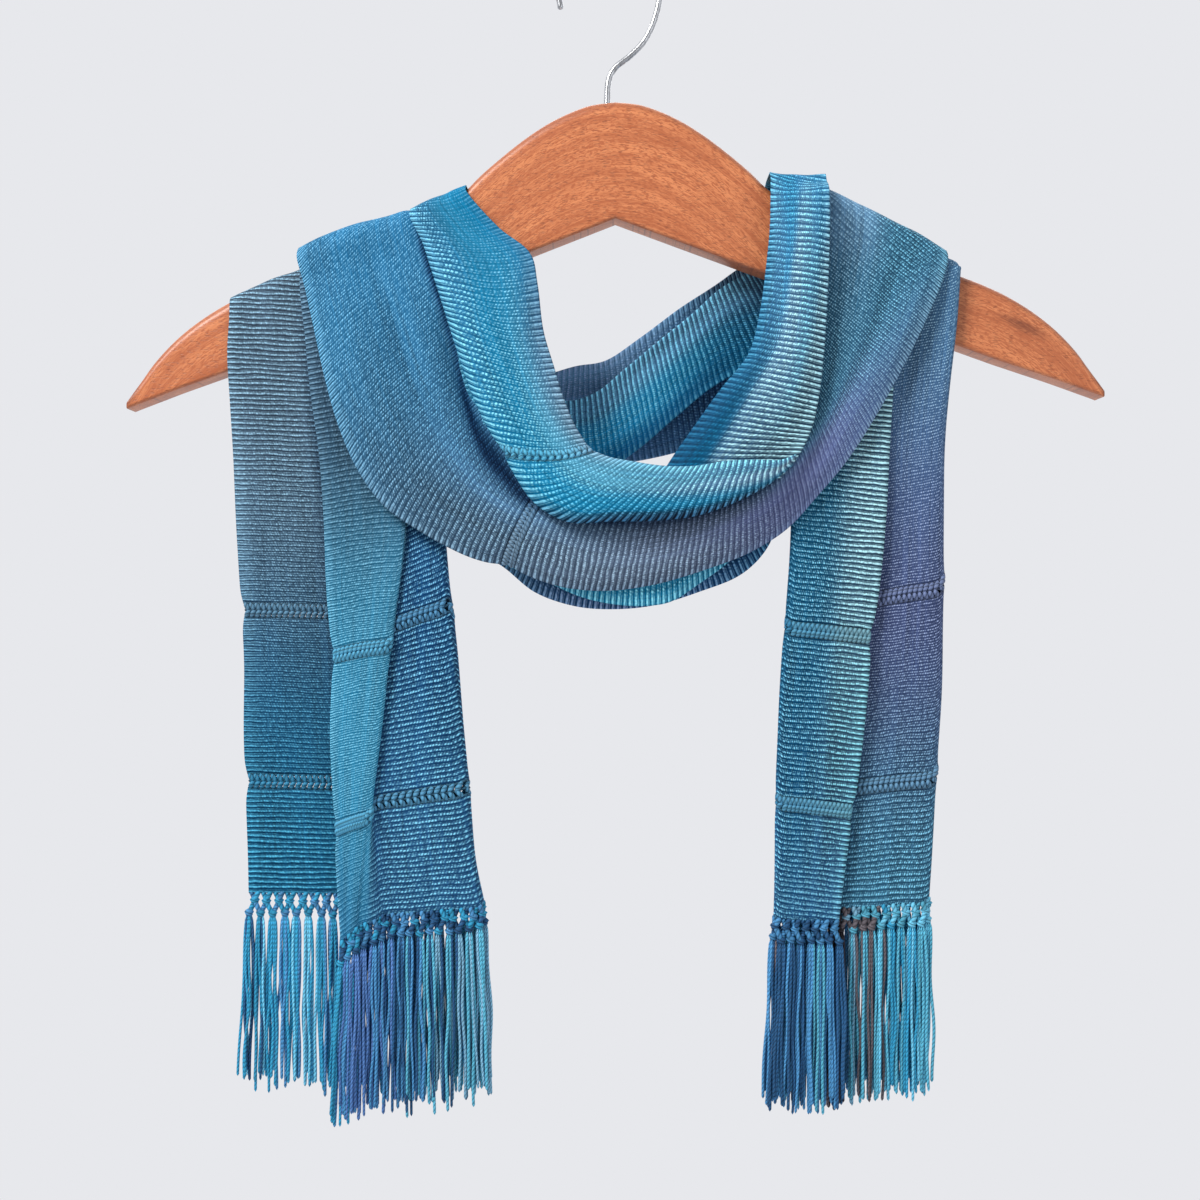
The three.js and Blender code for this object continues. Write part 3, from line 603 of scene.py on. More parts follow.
@dataclass(frozen=True)
class YarnFinish:
    """Twisted two-ply yarn: painted shade in the groove between its plies and a painted highlight on their crests,
    with fine fibres along it.
    """

    name: str
    lay: float = 4.2
    # Colour left in the groove between the plies: painted shade.
    groove: float = 0.5
    roughness: float = 0.55
    gloss: float = 0.15

    def build(self) -> bpy.types.Material:
        """Makes the material.

        Returns:
            The material.
        """
        made, graph, shader = new_material(self.name)
        around, along, _ = graph.split(graph.yarn())
        twist = graph.plus(around, graph.math("DIVIDE", along, self.lay))
        ridge = graph.math("ABSOLUTE", graph.math("COSINE", graph.times(twist, 2 * np.pi)))
        fibre = graph.noise((twist, 7.0), (along, 0.8), 2.0)
        # Painted shade in the groove and a painted highlight up to 1.35 on each ply's crest, times the fibres' tone.
        shade = graph.times(graph.span(ridge, 0.0, 0.75, self.groove, 1.35), graph.span(fibre, 0.2, 0.8, 0.85, 1.15))
        graph.feed(shader, {
            "Base Color": graph.mix(1.0, graph.attribute("dye"), shade, "MULTIPLY"),
            "Normal": graph.bump(ridge, 0.0003, 0.6),
            "Roughness": self.roughness,
            "Specular IOR Level": self.gloss,
        })
        return made


@dataclass(frozen=True)
class WoodFinish:
    """Satin reddish-brown wood: grain along the arms, short dark pores and a dark streak on the right arm."""

    name: str = "red_brown_wood"
    light: tuple[int, int, int] = (224, 140, 90)
    deep: tuple[int, int, int] = (178, 96, 56)
    dark: tuple[int, int, int] = (96, 44, 28)
    streak: tuple[float, float] = (190.0, -178.0)
    streak_slope: float = 0.45
    streak_size: tuple[float, float] = (15.0, 3.4)

    def build(self) -> bpy.types.Material:
        """Makes the material.

        Returns:
            The material.
        """
        made, graph, shader = new_material(self.name)
        x, y, z = graph.object_mm((0, 1, 2))
        slope = graph.attribute("grain", "Fac")
        light, deep, dark = (rgba(c) for c in (self.light, self.deep, self.dark))
        # Bands and fibres that follow the arm, clouds across it, and pores of two lengths.
        band = graph.noise((x, 0.012), (y, 0.12), (slope, 0.16), detail=4.0, roughness=0.55)
        fibre = graph.noise((x, 0.12), (y, 1.2), (slope, 1.7), detail=3.0, roughness=0.6)
        pore = graph.noise((x, 0.45), (y, 1.6), (slope, 1.5), roughness=0.6)
        fleck = graph.noise((x, 0.28), 3.0, (z, 1.9), detail=1.0)
        cloud = graph.noise((x, 0.02), 0.0, (z, 0.03))
        tone = graph.plus(graph.times(band, 0.6), graph.times(fibre, 0.4))
        colour = graph.mix(graph.span(tone, 0.36, 0.62), deep, light)
        colour = graph.mix(graph.span(cloud, 0.35, 0.7, 0.0, 0.35), colour, deep)
        colour = graph.mix(graph.span(pore, 0.5, 0.6, 0.0, 0.95), colour, deep)
        pores = graph.span(fleck, 0.57, 0.68, 0.0, 0.42)
        colour = graph.mix(pores, colour, dark)
        # The dark streak: a slanting oval, its rim roughened by the fibres.
        right, up = (graph.minus(axis, centre) for axis, centre in zip((x, z), self.streak))
        along = graph.math("MULTIPLY_ADD", up, -self.streak_slope, right)
        away = graph.math("MULTIPLY_ADD", right, self.streak_slope, up)
        squares = [graph.math("POWER", graph.math("DIVIDE", reach, size), 2.0)
                   for reach, size in zip((along, away), self.streak_size)]
        oval = graph.plus(graph.math("SQRT", graph.plus(*squares)), graph.times(fibre, 0.9))
        colour = graph.mix(graph.span(oval, 0.6, 1.7, 0.55, 0.0), colour, dark)
        # Darker on the rounded upper edge, a little darker on the underside, and dark on the collar's rim.
        darker_edges = graph.times(graph.attribute("edge", "Fac"), graph.span(fibre, 0.3, 0.7, 0.4, 0.85))
        graph.feed(shader, {
            "Base Color": graph.mix(darker_edges, colour, dark),
            "Normal": graph.bump(graph.minus(graph.times(fibre, 0.2), pores), 0.0002, 0.5),
            "Roughness": graph.span(fibre, 0.2, 0.8, 0.38, 0.5),
            "Coat Weight": 0.15,
            "Coat Roughness": 0.3,
        })
        return made


@dataclass(frozen=True)
class WireFinish:
    """Bright plated wire with faint drawing marks."""

    name: str = "plated_wire"
    colour: tuple[int, int, int] = (200, 202, 206)

    def build(self) -> bpy.types.Material:
        """Makes the material.

        Returns:
            The material.
        """
        made, graph, shader = new_material(self.name)
        x, z = graph.object_mm((0, 2))
        marks = graph.noise((x, 0.8), 0.0, (z, 0.3), detail=3.0)
        bright, dull = rgba(self.colour), rgba([0.8 * v for v in self.colour])
        graph.feed(shader, {
            "Base Color": graph.mix(graph.span(marks, 0.35, 0.7), bright, dull),
            "Roughness": graph.span(marks, 0.2, 0.8, 0.2, 0.38),
            "Metallic": 1.0,
        })
        return made


# ---- the hanger ---------------------------------------------------------------------------------------------
@dataclass
class Hanger:
    """One wooden body and one wire hook."""

    depth: float = 16.0
    top_edge: float = 5.0
    lower_edge: float = 1.4
    centre_x: float = 3.0
    tilt: float = 0.0122
    wire: float = 1.4
    hook_radius: float = 23.5
    hook_from: float = -9.0
    hook_to: float = 198.0
    stem_x: float = -0.9
    # Upper edge of one half from its middle to its tip, and lower edge from the notch to the tip: x, z.
    top: tuple = (
        (0, -74.3), (11, -75.6), (21, -79), (31.5, -84.2), (41.6, -90.8), (51.7, -98.6), (62.2, -107.6),
        (69, -114.4), (78, -121.2), (94, -129.5), (107, -135.5), (122, -142), (145, -151), (158, -156),
        (168, -160), (179, -165.2), (191, -172.6), (202, -181.4), (212, -192.2), (219, -202.6), (223.6, -209.8),
    )
    bottom: tuple = ((0, -128.4), (68, -154.3), (155, -188), (176, -195.8), (201, -204.4), (223.6, -212.8))
    # Way of the wire from the wood to its round part: x, z.
    bend: tuple = (
        (-0.9, -87), (-0.9, -74), (0.2, -62), (3, -57.2), (9.5, -52), (15.6, -45.8), (19.6, -38.8), (22, -31.9),
    )

    def top_at(self, x: Array) -> Array:
        """Height of the wood's upper edge at x."""
        reach, height = np.array(self.top).T
        return np.interp(np.abs(x - self.centre_x), reach, height) + self.tilt * (x - self.centre_x)

    def wood(self) -> Cast:
        """Body of the hanger: rings round it from tip to tip.

        A ring is an upright section. Its corners are quarter ellipses with a large radius above and a small one
        below, and the upper edge runs on a spline through its table.

        Returns:
            The closed body, with the values grain (how far below its upper edge) and edge (1 on the rounded edge).
        """
        upper = spline(np.array([(x, 0, z) for x, z in self.top], float)[:, None], 5)[:, 0]
        reach = np.concatenate([-upper[:0:-1, 0], upper[:, 0]])
        top = np.interp(np.abs(reach), upper[:, 0], upper[:, 2]) + self.tilt * reach
        low_x, low_z = np.array(self.bottom, float).T
        low = np.interp(np.abs(reach), low_x, low_z) + self.tilt * reach
        half = self.depth / 2
        turn = np.linspace(0, np.pi / 2, 7)
        high_r = np.minimum(self.top_edge, (top - low) * 0.4)[:, None]
        low_r = np.minimum(self.lower_edge, (top - low) * 0.3)[:, None]
        up_y, up_z = half - high_r * (1 - np.cos(turn)), top[:, None] - high_r * (1 - np.sin(turn))
        down_y, down_z = half - low_r * (1 - np.cos(turn)), low[:, None] + low_r * (1 - np.sin(turn))
        face = np.linspace(0.12, 0.88, 6)[None]
        side_z = down_z[:, :1] + (up_z[:, :1] - down_z[:, :1]) * face
        side_y = np.full_like(side_z, half)
        ring_y = np.concatenate([-side_y, -up_y, up_y[:, ::-1], side_y[:, ::-1], down_y, -down_y[:, ::-1]], axis=1)
        ring_z = np.concatenate([side_z, up_z, up_z[:, ::-1], side_z[:, ::-1], down_z, down_z[:, ::-1]], axis=1)
        ring_x = np.broadcast_to((reach + self.centre_x)[:, None], ring_y.shape)
        points = np.stack([ring_x, ring_y, ring_z], axis=-1)
        middle = points.mean(axis=1, keepdims=True)
        shrunk = ((0, 0.02), (0, 0.55), (-1, 0.55), (-1, 0.02))
        caps = [middle[[k]] + (points[[k]] - middle[[k]]) * share for k, share in shrunk]
        points = np.concatenate([*caps[:2], points, *caps[2:]])
        x, y, z = np.moveaxis(points, -1, 0)
        below = np.interp(x, ring_x[:, 0], top) - z
        edge = (1 - smoothstep(0.5, 5.0, below)) * smoothstep(0.55, 0.95, np.abs(y) / half)
        underside = z - np.interp(x, ring_x[:, 0], low) < 1.2
        rows, around = points.shape[:2]
        values = {"grain": below.ravel(), "edge": np.maximum(edge, 0.24 * underside).ravel()}
        return Cast(points.reshape(-1, 3), quads(rows, around, closed=True)[:, ::-1], None, {}, values)

    def hook(self) -> Cast:
        """Wire hook: a round tube along its stem, an easy bend and a round arc, with domed ends.

        Returns:
            The closed tube.
        """
        turn = np.radians(np.arange(self.hook_from, self.hook_to + 1, 23))
        centre = self.wire - self.hook_radius
        arc = np.stack([self.hook_radius * np.cos(turn), 0 * turn, centre + self.hook_radius * np.sin(turn)], axis=-1)
        route = np.concatenate([np.array([(x, 0, z) for x, z in self.bend], float), arc])
        path = spline(route[:, None], 12)[:, 0]
        end = path[-1] + (path[-1] - path[-2]) / np.linalg.norm(path[-1] - path[-2]) * np.array([[0.5], [0.9], [1.0]])
        path = np.concatenate([path, end])
        radius = np.full((len(path), 1, 1), self.wire)
        radius[-3:, 0, 0] *= (0.85, 0.5, 0.1)
        around = 16
        across = np.cross(unit(np.gradient(path, axis=0)), DEPTH_WAY)[:, None]
        ring = (2 * np.pi * np.arange(around) / around)[None, :, None]
        points = path[:, None] + radius * (np.cos(ring) * across + np.sin(ring) * DEPTH_WAY)
        return Cast(points.reshape(-1, 3), quads(len(path), around, closed=True)[:, ::-1])

    def collar(self) -> Cast:
        """Dark chipped rim of the hole that the stem enters: a low ring that follows the wood's upper edge.

        Returns:
            The ring, with the values that the wood has.
        """
        ring = 2 * np.pi * np.arange(24) / 24
        radius = np.array([1.5, 2.1, 2.7, 3.1])[:, None] * (1 + 0.1 * np.sin(5 * ring) + 0.06 * np.sin(9 * ring + 1))
        height = np.array([-1.0, 0.25, 0.2, -0.4])[:, None]
        x = self.stem_x + radius * np.cos(ring)
        points = np.stack([x, radius * np.sin(ring), self.top_at(x) + height], axis=-1)
        values = {"grain": np.zeros(x.size), "edge": np.ones(x.size)}
        return Cast(points.reshape(-1, 3), quads(4, 24, closed=True), None, {}, values)

    def build(self) -> list[bpy.types.Object]:
        """Makes the hanger's pieces.

        Returns:
            The wood, the rim of its hole and the wire hook.
        """
        finish = WoodFinish().build()
        wood = self.wood().piece("hanger_wood", finish, "hanger_body")
        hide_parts("hanger_body")
        collar = self.collar().piece("hanger_collar", finish, "hanger_body")
        hook = self.hook().piece("hanger_wire", WireFinish().build(), "hanger_hook")
        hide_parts("hanger_hook")
        return [wood, collar, hook]


HANGER = Hanger()
ARM_HALF = HANGER.depth / 2


# ---- the cloth ----------------------------------------------------------------------------------------------
WRAP_SQUARENESS = 0.62
WRAP_TURNS = np.array([180.0, 150.0, 120.0, 90.0, 60.0, 30.0])
TAIL_DROP = 10.0
SEAM = 1.1
DENT, PINCH, PINCH_LENGTH, PINCH_WIDTH = 0.4, 1.4, 6.0, 5.0


@dataclass(frozen=True)
class Wrap:
    """A stretch of a loop over one arm: two x at its edges, and its lift off the wood in front and behind."""

    x0: float
    x1: float
    front: tuple[float, float, float]
    back: tuple[float, float, float]
    squareness: float = WRAP_SQUARENESS

    def places(self, columns: int) -> tuple[Array, Array]:
        """Shares of the width, and their x."""
        v = np.linspace(0, 1, columns)
        return v, self.x0 + (self.x1 - self.x0) * v

    def rows(self, columns: int) -> Array:
        """Sections from the tail behind the arm to the front of it.

        Args:
            columns: Points across a section.

        Returns:
            The rows of points.
        """
        v, x = self.places(columns)
        share = smoothstep(60, 180, WRAP_TURNS)[:, None]
        lift = through(*self.front, v)[None] * (1 - share) + through(*self.back, v)[None] * share
        over = over_arm(np.broadcast_to(x, lift.shape), lift, WRAP_TURNS[:, None], self.squareness)
        tail = over[:1] - np.array([0, 0, TAIL_DROP])
        return np.concatenate([tail, over])

    def join(self, columns: int) -> Array:
        """Section behind the arm just below the tail.

        Args:
            columns: Points across the section.

        Returns:
            One row of points.
        """
        v, x = self.places(columns)
        z = HANGER.top_at(x) - ARM_HALF - TAIL_DROP - SEAM
        return np.stack([x, ARM_HALF + through(*self.back, v), z], axis=-1)[None]


def over_arm(x: Array, lift: Array, turn_deg: Array, squareness: float = WRAP_SQUARENESS) -> Array:
    """Points over an arm, on the superellipse |cos|^p, sin^p round its upper half.

    Args:
        x: Place along the arm.
        lift: Height off the wood.
        turn_deg: 0 in front, 90 above and 180 behind.
        squareness: The power p, 1 for a round wrap.

    Returns:
        The points.
    """
    turn = np.radians(turn_deg)
    reach = ARM_HALF + lift
    forward = np.sign(np.cos(turn)) * np.abs(np.cos(turn)) ** squareness
    up = np.abs(np.sin(turn)) ** squareness
    return np.stack(np.broadcast_arrays(x, -reach * forward, HANGER.top_at(x) - ARM_HALF + reach * up), axis=-1)


def loop_rows(table: Sequence[Sequence[float]], columns: int) -> Array:
    """Sections of a loop: straight from edge to edge, crowned by a sine and turned back at both edges.

    Args:
        table: Rows of outer x, z, y; inner x, z, y; crown; outer lip; inner lip.
        columns: Points across a section.

    Returns:
        The rows of points.
    """
    lip_width = 0.2
    v = np.linspace(0, 1, columns)[None]
    ox, oz, oy, ix, iz, iy, crown, outer_lip, inner_lip = (c[:, None] for c in np.array(table, float).T)
    y = oy + (iy - oy) * v - crown * np.sin(np.pi * v)
    y = y + outer_lip * np.maximum(0, 1 - v / lip_width) ** 2 + inner_lip * np.maximum(0, 1 - (1 - v) / lip_width) ** 2
    return np.stack([ox + (ix - ox) * v, y, oz + (iz - oz) * v], axis=-1)


@dataclass(frozen=True)
class Bath:
    """A place where the yarn took its dye: row and share of the width, its ground and its weft lines.

    Solid lines have no beads, fine ones stand twice as close, and bold is their strength. Baths with the navy ground
    are painted shade in pockets under folds, not dye.
    """

    row: float
    share: float
    ground: Dye
    line: Dye
    solid: float = 0.0
    fine: float = 0.15
    bold: float = 0.97


@dataclass(frozen=True)
class Crease:
    """A soft trough (below zero) or ridge along a straight line on the cloth, in rows and shares of the width.

    As a painted shadow it darkens the yarn's colour beside a fold that shades it, and its height is the share of light
    that it takes.
    """

    start: tuple[float, float]
    end: tuple[float, float]
    width: float
    height: float


@dataclass
class Sheet:
    """One stretch of the woven panel, splined through coarse rows of points. The first lead of them have rows below 0.

    The reaches are those of a bath, in rows and in shares of the width. Open work lies at open_levels (lengths along
    the cloth) and open_places (rows and shares). Each row of it is row_height wide, dents the cloth and pinches it.
    """

    name: str
    node: str
    coarse: Array
    baths: Sequence[Bath]
    flat: tuple[float, float]
    held: str
    rests_on: tuple[str, ...]
    lead: int = 0
    per_row: int = 8
    per_column: int = 7
    thickness: float = 1.0
    row_reach: float = 2.2
    share_reach: float = 0.3
    skew: tuple[tuple[float, float], ...] = ((0.0, 0.0), (1.0, 0.0))
    sag: tuple[tuple[float, float], ...] = ((0.0, 0.0), (1.0, 0.0))
    creases: Sequence[Crease] = ()
    # Painted shadows: lines beside folds where the cloth's colour is darkened to stand for shade.
    painted_shadows: Sequence[Crease] = ()
    # Power on each channel of a painted shadow, so that it darkens red the most and reads navy.
    shadow_tint: tuple[float, float, float] = (1.25, 1.0, 0.75)
    open_levels: Sequence[float] = ()
    open_places: Sequence[tuple[float, float]] = ()
    row_height: float = 6.0
    stitch_pitch: float = 2.5
    stitch_lean: float = 0.7
    rim_cord: float = 0.55
    middle_cord: float = 0.6
    selvedges: tuple[float, ...] = (0.0, 1.0)
    ripple: float = 0.25
    finish: WeaveFinish = WeaveFinish("weave")

    def __post_init__(self) -> None:
        """Works out the surface and its weave."""
        self.grid = fine_grid(self.coarse, self.per_row, self.per_column)
        rows, columns = self.grid.shape[:2]
        self.row = np.broadcast_to((np.arange(rows) / self.per_row - self.lead)[:, None], (rows, columns))
        self.share = np.broadcast_to(np.linspace(0, 1, columns)[None], (rows, columns))
        self.across, self.along = self.weave()
        self.levels = [*self.open_levels, *(self.level_at(*place) for place in self.open_places)]
        self.align_rows()
        self.shape_cloth()

    def weave(self) -> tuple[Array, Array]:
        """Millimetres across and along the cloth at each point, from the mean lengths of its rows and columns.

        The weft slants by skew (s - 1/2) and sags by sag 4 s (1 - s), where s is the share of the width.

        Returns:
            The two lengths at each point.
        """
        across = np.broadcast_to(run_length(self.grid, 1).mean(axis=0)[None], self.share.shape)
        along = run_length(self.grid, 0).mean(axis=1)[:, None]
        slant, sag = (np.interp(self.row, *np.array(table).T) for table in (self.skew, self.sag))
        return across, along + slant * (self.share - 0.5) + sag * 4 * self.share * (1 - self.share)

    def level_at(self, row: float, share: float) -> float:
        """Length along the cloth at a row of its table and a share of its width."""
        by_share = [np.interp(share, self.share[0], levels) for levels in self.along]
        return float(np.interp(row, self.row[:, 0], by_share))

    def align_rows(self) -> None:
        """Lays rows of the grid along both rims of each row of open work.

        Between two rims the rows are spread evenly by their length along the cloth, column by column.
        """
        if not self.levels:
            return
        sign = 1.0 if self.along[-1, 0] > self.along[0, 0] else -1.0
        along = sign * self.along
        half = self.row_height / 2
        rims = sorted(sign * level + side * half for level in self.levels for side in (-1, 1))
        marks = np.stack([along[0], *(np.full(along.shape[1], rim) for rim in rims), along[-1]])
        step = (marks[-1] - marks[0]).mean() / len(along)
        parts = []
        for low, high in zip(marks[:-1], marks[1:]):
            count = max(3, int(round((high - low).mean() / step)))
            t = (np.arange(count) / count)[:, None]
            parts.append(low * (1 - t) + high * t)
        target = np.concatenate([*parts, marks[-1:]])
        columns = []
        for c in range(along.shape[1]):
            data = (*self.grid[:, c].T, self.row[:, c])
            columns.append(np.stack([np.interp(target[:, c], along[:, c], d) for d in data], axis=-1))
        laid = np.stack(columns, axis=1)
        self.grid, self.row, self.along = laid[..., :3], laid[..., 3], sign * target
        self.share = np.broadcast_to(self.share[:1], self.row.shape)
        self.across = np.broadcast_to(self.across[:1], self.row.shape)

    def near(self, crease: Crease) -> Array:
        """How near each point is to a crease: exp(-(gap / width)^2), faded towards both of its ends.

        Args:
            crease: The line that counts.

        Returns:
            A share from 0 to 1 for each point.
        """
        length = run_length(self.grid, 0).mean(axis=1)
        ends = np.array([crease.start, crease.end])
        u = np.interp(ends[:, 0], self.row[:, 0], length)
        v = np.interp(ends[:, 1], self.share[0], self.across[0])
        way = np.array([u[1] - u[0], v[1] - v[0]])
        point = np.stack([length[:, None] - u[0] + 0 * self.across, self.across - v[0]], axis=-1)
        t = np.clip(point @ way / (way @ way), 0, 1)
        gap = np.linalg.norm(point - t[..., None] * way, axis=-1)
        return np.exp(-((gap / crease.width) ** 2)) * np.sin(np.pi * np.clip(t, 0.02, 0.98)) ** 0.5

    def shape_cloth(self) -> None:
        """Adds creases, a slight ripple of three sines, and the dent and pinch at each open-work row."""
        lift = np.zeros(self.share.shape)
        for crease in self.creases:
            lift += crease.height * self.near(crease)
        lift += self.ripple * np.sin(self.across / 7.3 + self.along / 31) * np.sin(self.along / 17.0 + self.share * 5)
        lift += 0.5 * self.ripple * np.sin(self.across / 3.1 - self.along / 23)
        pinch = np.zeros(self.share.shape)
        left, right = (np.exp(-np.abs(self.share - edge) * self.across[0, -1] / PINCH_WIDTH) for edge in (0.0, 1.0))
        for level in self.levels:
            near = np.exp(-(((self.along - level) / PINCH_LENGTH) ** 2))
            lift -= DENT * near
            pinch += near * (left - right) * PINCH
        across_way = unit(np.gradient(self.grid, axis=1))
        self.grid = self.grid + lift[..., None] * grid_normals(self.grid) + pinch[..., None] * across_way

    def dye_and_painted_shade(self) -> tuple[Array, Array, dict[str, Array]]:
        """Ground, line and the values of the weave at each point: means of the baths, weighed by exp(-distance^2).
        Then the painted shadows darken both colours.

        Returns:
            Linear colours of the ground and of the lines, painted shadows included, and solid, fine and bold by name.
        """
        row = self.row[..., None] - np.array([b.row for b in self.baths])
        share = self.share[..., None] - np.array([b.share for b in self.baths])
        distance = (row / self.row_reach) ** 2 + (share / self.share_reach) ** 2
        weight = np.exp(-(distance - distance.min(axis=-1, keepdims=True)))
        weight /= weight.sum(axis=-1, keepdims=True)
        ground = weight @ np.array([linear(b.ground.value) for b in self.baths])
        line = weight @ np.array([linear(b.line.value) for b in self.baths])
        values = {label: weight @ [getattr(b, label) for b in self.baths] for label in ("solid", "fine", "bold")}
        for edge in self.selvedges:
            rim = 1 - smoothstep(1.5, 6, np.abs(self.share - edge) * self.across[0, -1])
            values["solid"] = np.maximum(values["solid"], rim)
        # Painted shadows: each darkens both colours near its line, red the most.
        shade = np.ones(self.share.shape)
        for shadow in self.painted_shadows:
            shade *= 1 + shadow.height * self.near(shadow)
        shade = shade[..., None] ** self.shadow_tint
        return ground * shade, line * shade, values

    def line_at(self, level: float) -> Array:
        """Line on the cloth where the length along it has one value.

        Args:
            level: The length along the cloth.

        Returns:
            The points of the line, one for each column.
        """
        above = self.along - level
        row = np.argmax(above[:-1] * above[1:] <= 0, axis=0)
        column = np.arange(self.grid.shape[1])
        a, b = above[row, column], above[row + 1, column]
        t = (a / np.where(a == b, 1, a - b))[:, None]
        return self.grid[row, column] * (1 - t) + self.grid[row + 1, column] * t

    def stitches(self, level: float) -> list[Cast]:
        """One row of open work: slanted stitches from both rims to a cord in the middle.

        Args:
            level: Where along the cloth it lies.

        Returns:
            The stitches, the middle cord and the two rims.
        """
        half = self.row_height / 2
        lines = [self.line_at(level + h) for h in (-half, 0.0, half)]
        width = self.across[0, -1]
        count = int(width / self.stitch_pitch)
        place = (np.arange(count) + 0.3) * width / count
        tied = np.minimum(place + self.stitch_lean * self.stitch_pitch, width)
        at, columns = np.argmin(np.abs(self.along - level), axis=0), np.arange(self.share.shape[1])
        ground, line, _ = self.dye_and_painted_shade()
        # The stitches take the cloth's colours, painted shadows included.
        tint = 0.6 * ground[at, columns] + 0.25 * line[at, columns]
        outward = -0.25 * DEPTH_WAY

        def on(points: Array, s: Array) -> Array:
            """Values of a line at the given millimetres across."""
            return np.stack([np.interp(s, self.across[0], points[:, k]) for k in range(3)], axis=-1)

        casts = []
        stations = 7
        t = np.linspace(-0.16, 1.16, stations)
        bow = (np.sin(np.pi * np.clip(t, 0, 1)) * 2.4)[None, :, None]
        for rim in (lines[0], lines[2]):
            start, end = on(rim, place), on(lines[1], tied)
            path = start[:, None] * (1 - t)[:, None] + end[:, None] * t[:, None] + outward * bow
            girth = np.broadcast_to(0.72 + 0.5 * np.sin(np.pi * np.linspace(0, 1, stations)), path.shape[:2])
            casts.append(cords(path, girth, np.repeat(on(tint, place)[:, None], stations, axis=1)))
        # The rims and the middle cord take 0.45 of the stitches' colour: painted shade for the dark gaps of the open
        # work.
        dense = np.linspace(0, width, 6 * count)
        for points, size in zip(lines, (self.rim_cord, self.middle_cord, self.rim_cord)):
            path = (on(points, dense) + outward)[None]
            casts.append(cords(path, np.full(path.shape[:2], size), on(tint, dense)[None] * 0.45))
        return casts

    def build(self, cloth: bpy.types.Material, yarn: bpy.types.Material) -> bpy.types.Object:
        """Args:
            cloth: Finish of the weave.
            yarn: Finish of the stitches.

        Returns:
            The cloth.
        """
        rows, columns = self.share.shape
        ground, line, values = self.dye_and_painted_shade()
        middle = (self.along[:-1, :-1] + self.along[1:, 1:]) / 2
        keep = np.ones(middle.shape, bool)
        for level in self.levels:
            keep &= np.abs(middle - level) > self.row_height / 2
        faces = quads(rows, columns)[keep.ravel()]
        uv = np.stack([self.across, self.along], axis=-1).reshape(-1, 2)[faces]
        # The ground and line colours carry the painted shadows.
        colours = {"ground": ground.reshape(-1, 3), "line": line.reshape(-1, 3)}
        cast = Cast(self.grid.reshape(-1, 3), faces, uv, colours, {k: v.ravel() for k, v in values.items()})
        made = cast.piece(self.name, cloth, self.node)
        shell = made.modifiers.new("thickness", "SOLIDIFY")
        shell.thickness, shell.offset = self.thickness * MM, 0.0
        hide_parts(self.node)
        if self.levels:
            casts = [cast for level in self.levels for cast in self.stitches(level)]
            join(casts).piece(f"{self.name}_stitches", yarn, self.node)
        LOG.info("%s: %.0f mm wide and %.0f mm long", self.name, self.across[0, -1],
                 run_length(self.grid, 0).mean(axis=1)[-1])
        return made


# ---- legs ---------------------------------------------------------------------------------------------------
def fold_arc(edge_x: float, lift_a: float, lift_b: float, side: int, points: int) -> list[tuple[float, float]]:
    """Half circle of cloth from one layer to the next, on the right (side 1) or on the left (side -1).

    Args:
        edge_x: The fold's outermost x.
        lift_a: Lift of the first layer off the wood.
        lift_b: Lift of the second layer.
        side: Where the fold is.
        points: Number of points.

    Returns:
        Pairs of x and lift.
    """
    radius = (lift_b - lift_a) / 2
    turn = np.pi * (np.arange(1, points + 1) / (points + 1) - 0.5)
    return list(zip(edge_x + side * radius * (np.cos(turn) - 1), (lift_a + lift_b) / 2 + radius * np.sin(turn)))


def layer(x0: float, x1: float, lift: float, points: int) -> list[tuple[float, float]]:
    """Even points of one flat layer."""
    return [(x, lift) for x in np.linspace(x0, x1, points)]


def left_section(row: dict[str, float]) -> list[tuple[float, float]]:
    """Section of the left leg: back layer, fold on the right, front layer, a tuck and the last strip over it.

    Args:
        row: Numbers of the section, by the names of LEFT_COLUMNS.

    Returns:
        Pairs of x and lift.
    """
    half, step = (row["lift_b"] - row["lift_a"]) / 2, 0.8
    ease = float(np.clip(row["tuck"] / 8, 0, 1))
    tuck_x = row["fold_x"] - row["tuck"]
    return [
        *layer(row["back_x"], row["right_x"] - half, row["lift_a"], 6),
        *fold_arc(row["right_x"], row["lift_a"], row["lift_b"], 1, 3),
        *layer(row["right_x"] - half, tuck_x + 2 * step, row["lift_b"], 4),
        (tuck_x - ease * step * 0.4, row["lift_b"] + step),
        ((tuck_x + row["fold_x"]) / 2, row["lift_b"] + 2 * step),
        (row["fold_x"] + ease * step * 0.4, row["lift_b"] + 3 * step),
        *layer(row["fold_x"] - 2 * step, row["front_x"], row["lift_b"] + 4 * step, 4),
    ]


def right_section(row: dict[str, float]) -> list[tuple[float, float]]:
    """Section of the right leg: hidden back layer, fold on the right, middle layer, fold on the left, front layer.

    Args:
        row: Numbers of the section, by the names of RIGHT_COLUMNS.

    Returns:
        Pairs of x and lift.
    """
    back_half, front_half = (row["lift_b"] - row["lift_a"]) / 2, (row["lift_c"] - row["lift_b"]) / 2
    return [
        *layer(row["left_x"] + row["hidden"], row["right_x"] - back_half, row["lift_a"], 5),
        *fold_arc(row["right_x"], row["lift_a"], row["lift_b"], 1, 3),
        *layer(row["right_x"] - back_half, row["left_x"] + front_half, row["lift_b"], 6),
        *fold_arc(row["left_x"], row["lift_b"], row["lift_c"], -1, 3),
        *layer(row["left_x"] + front_half, row["front_x"], row["lift_c"], 4),
    ]


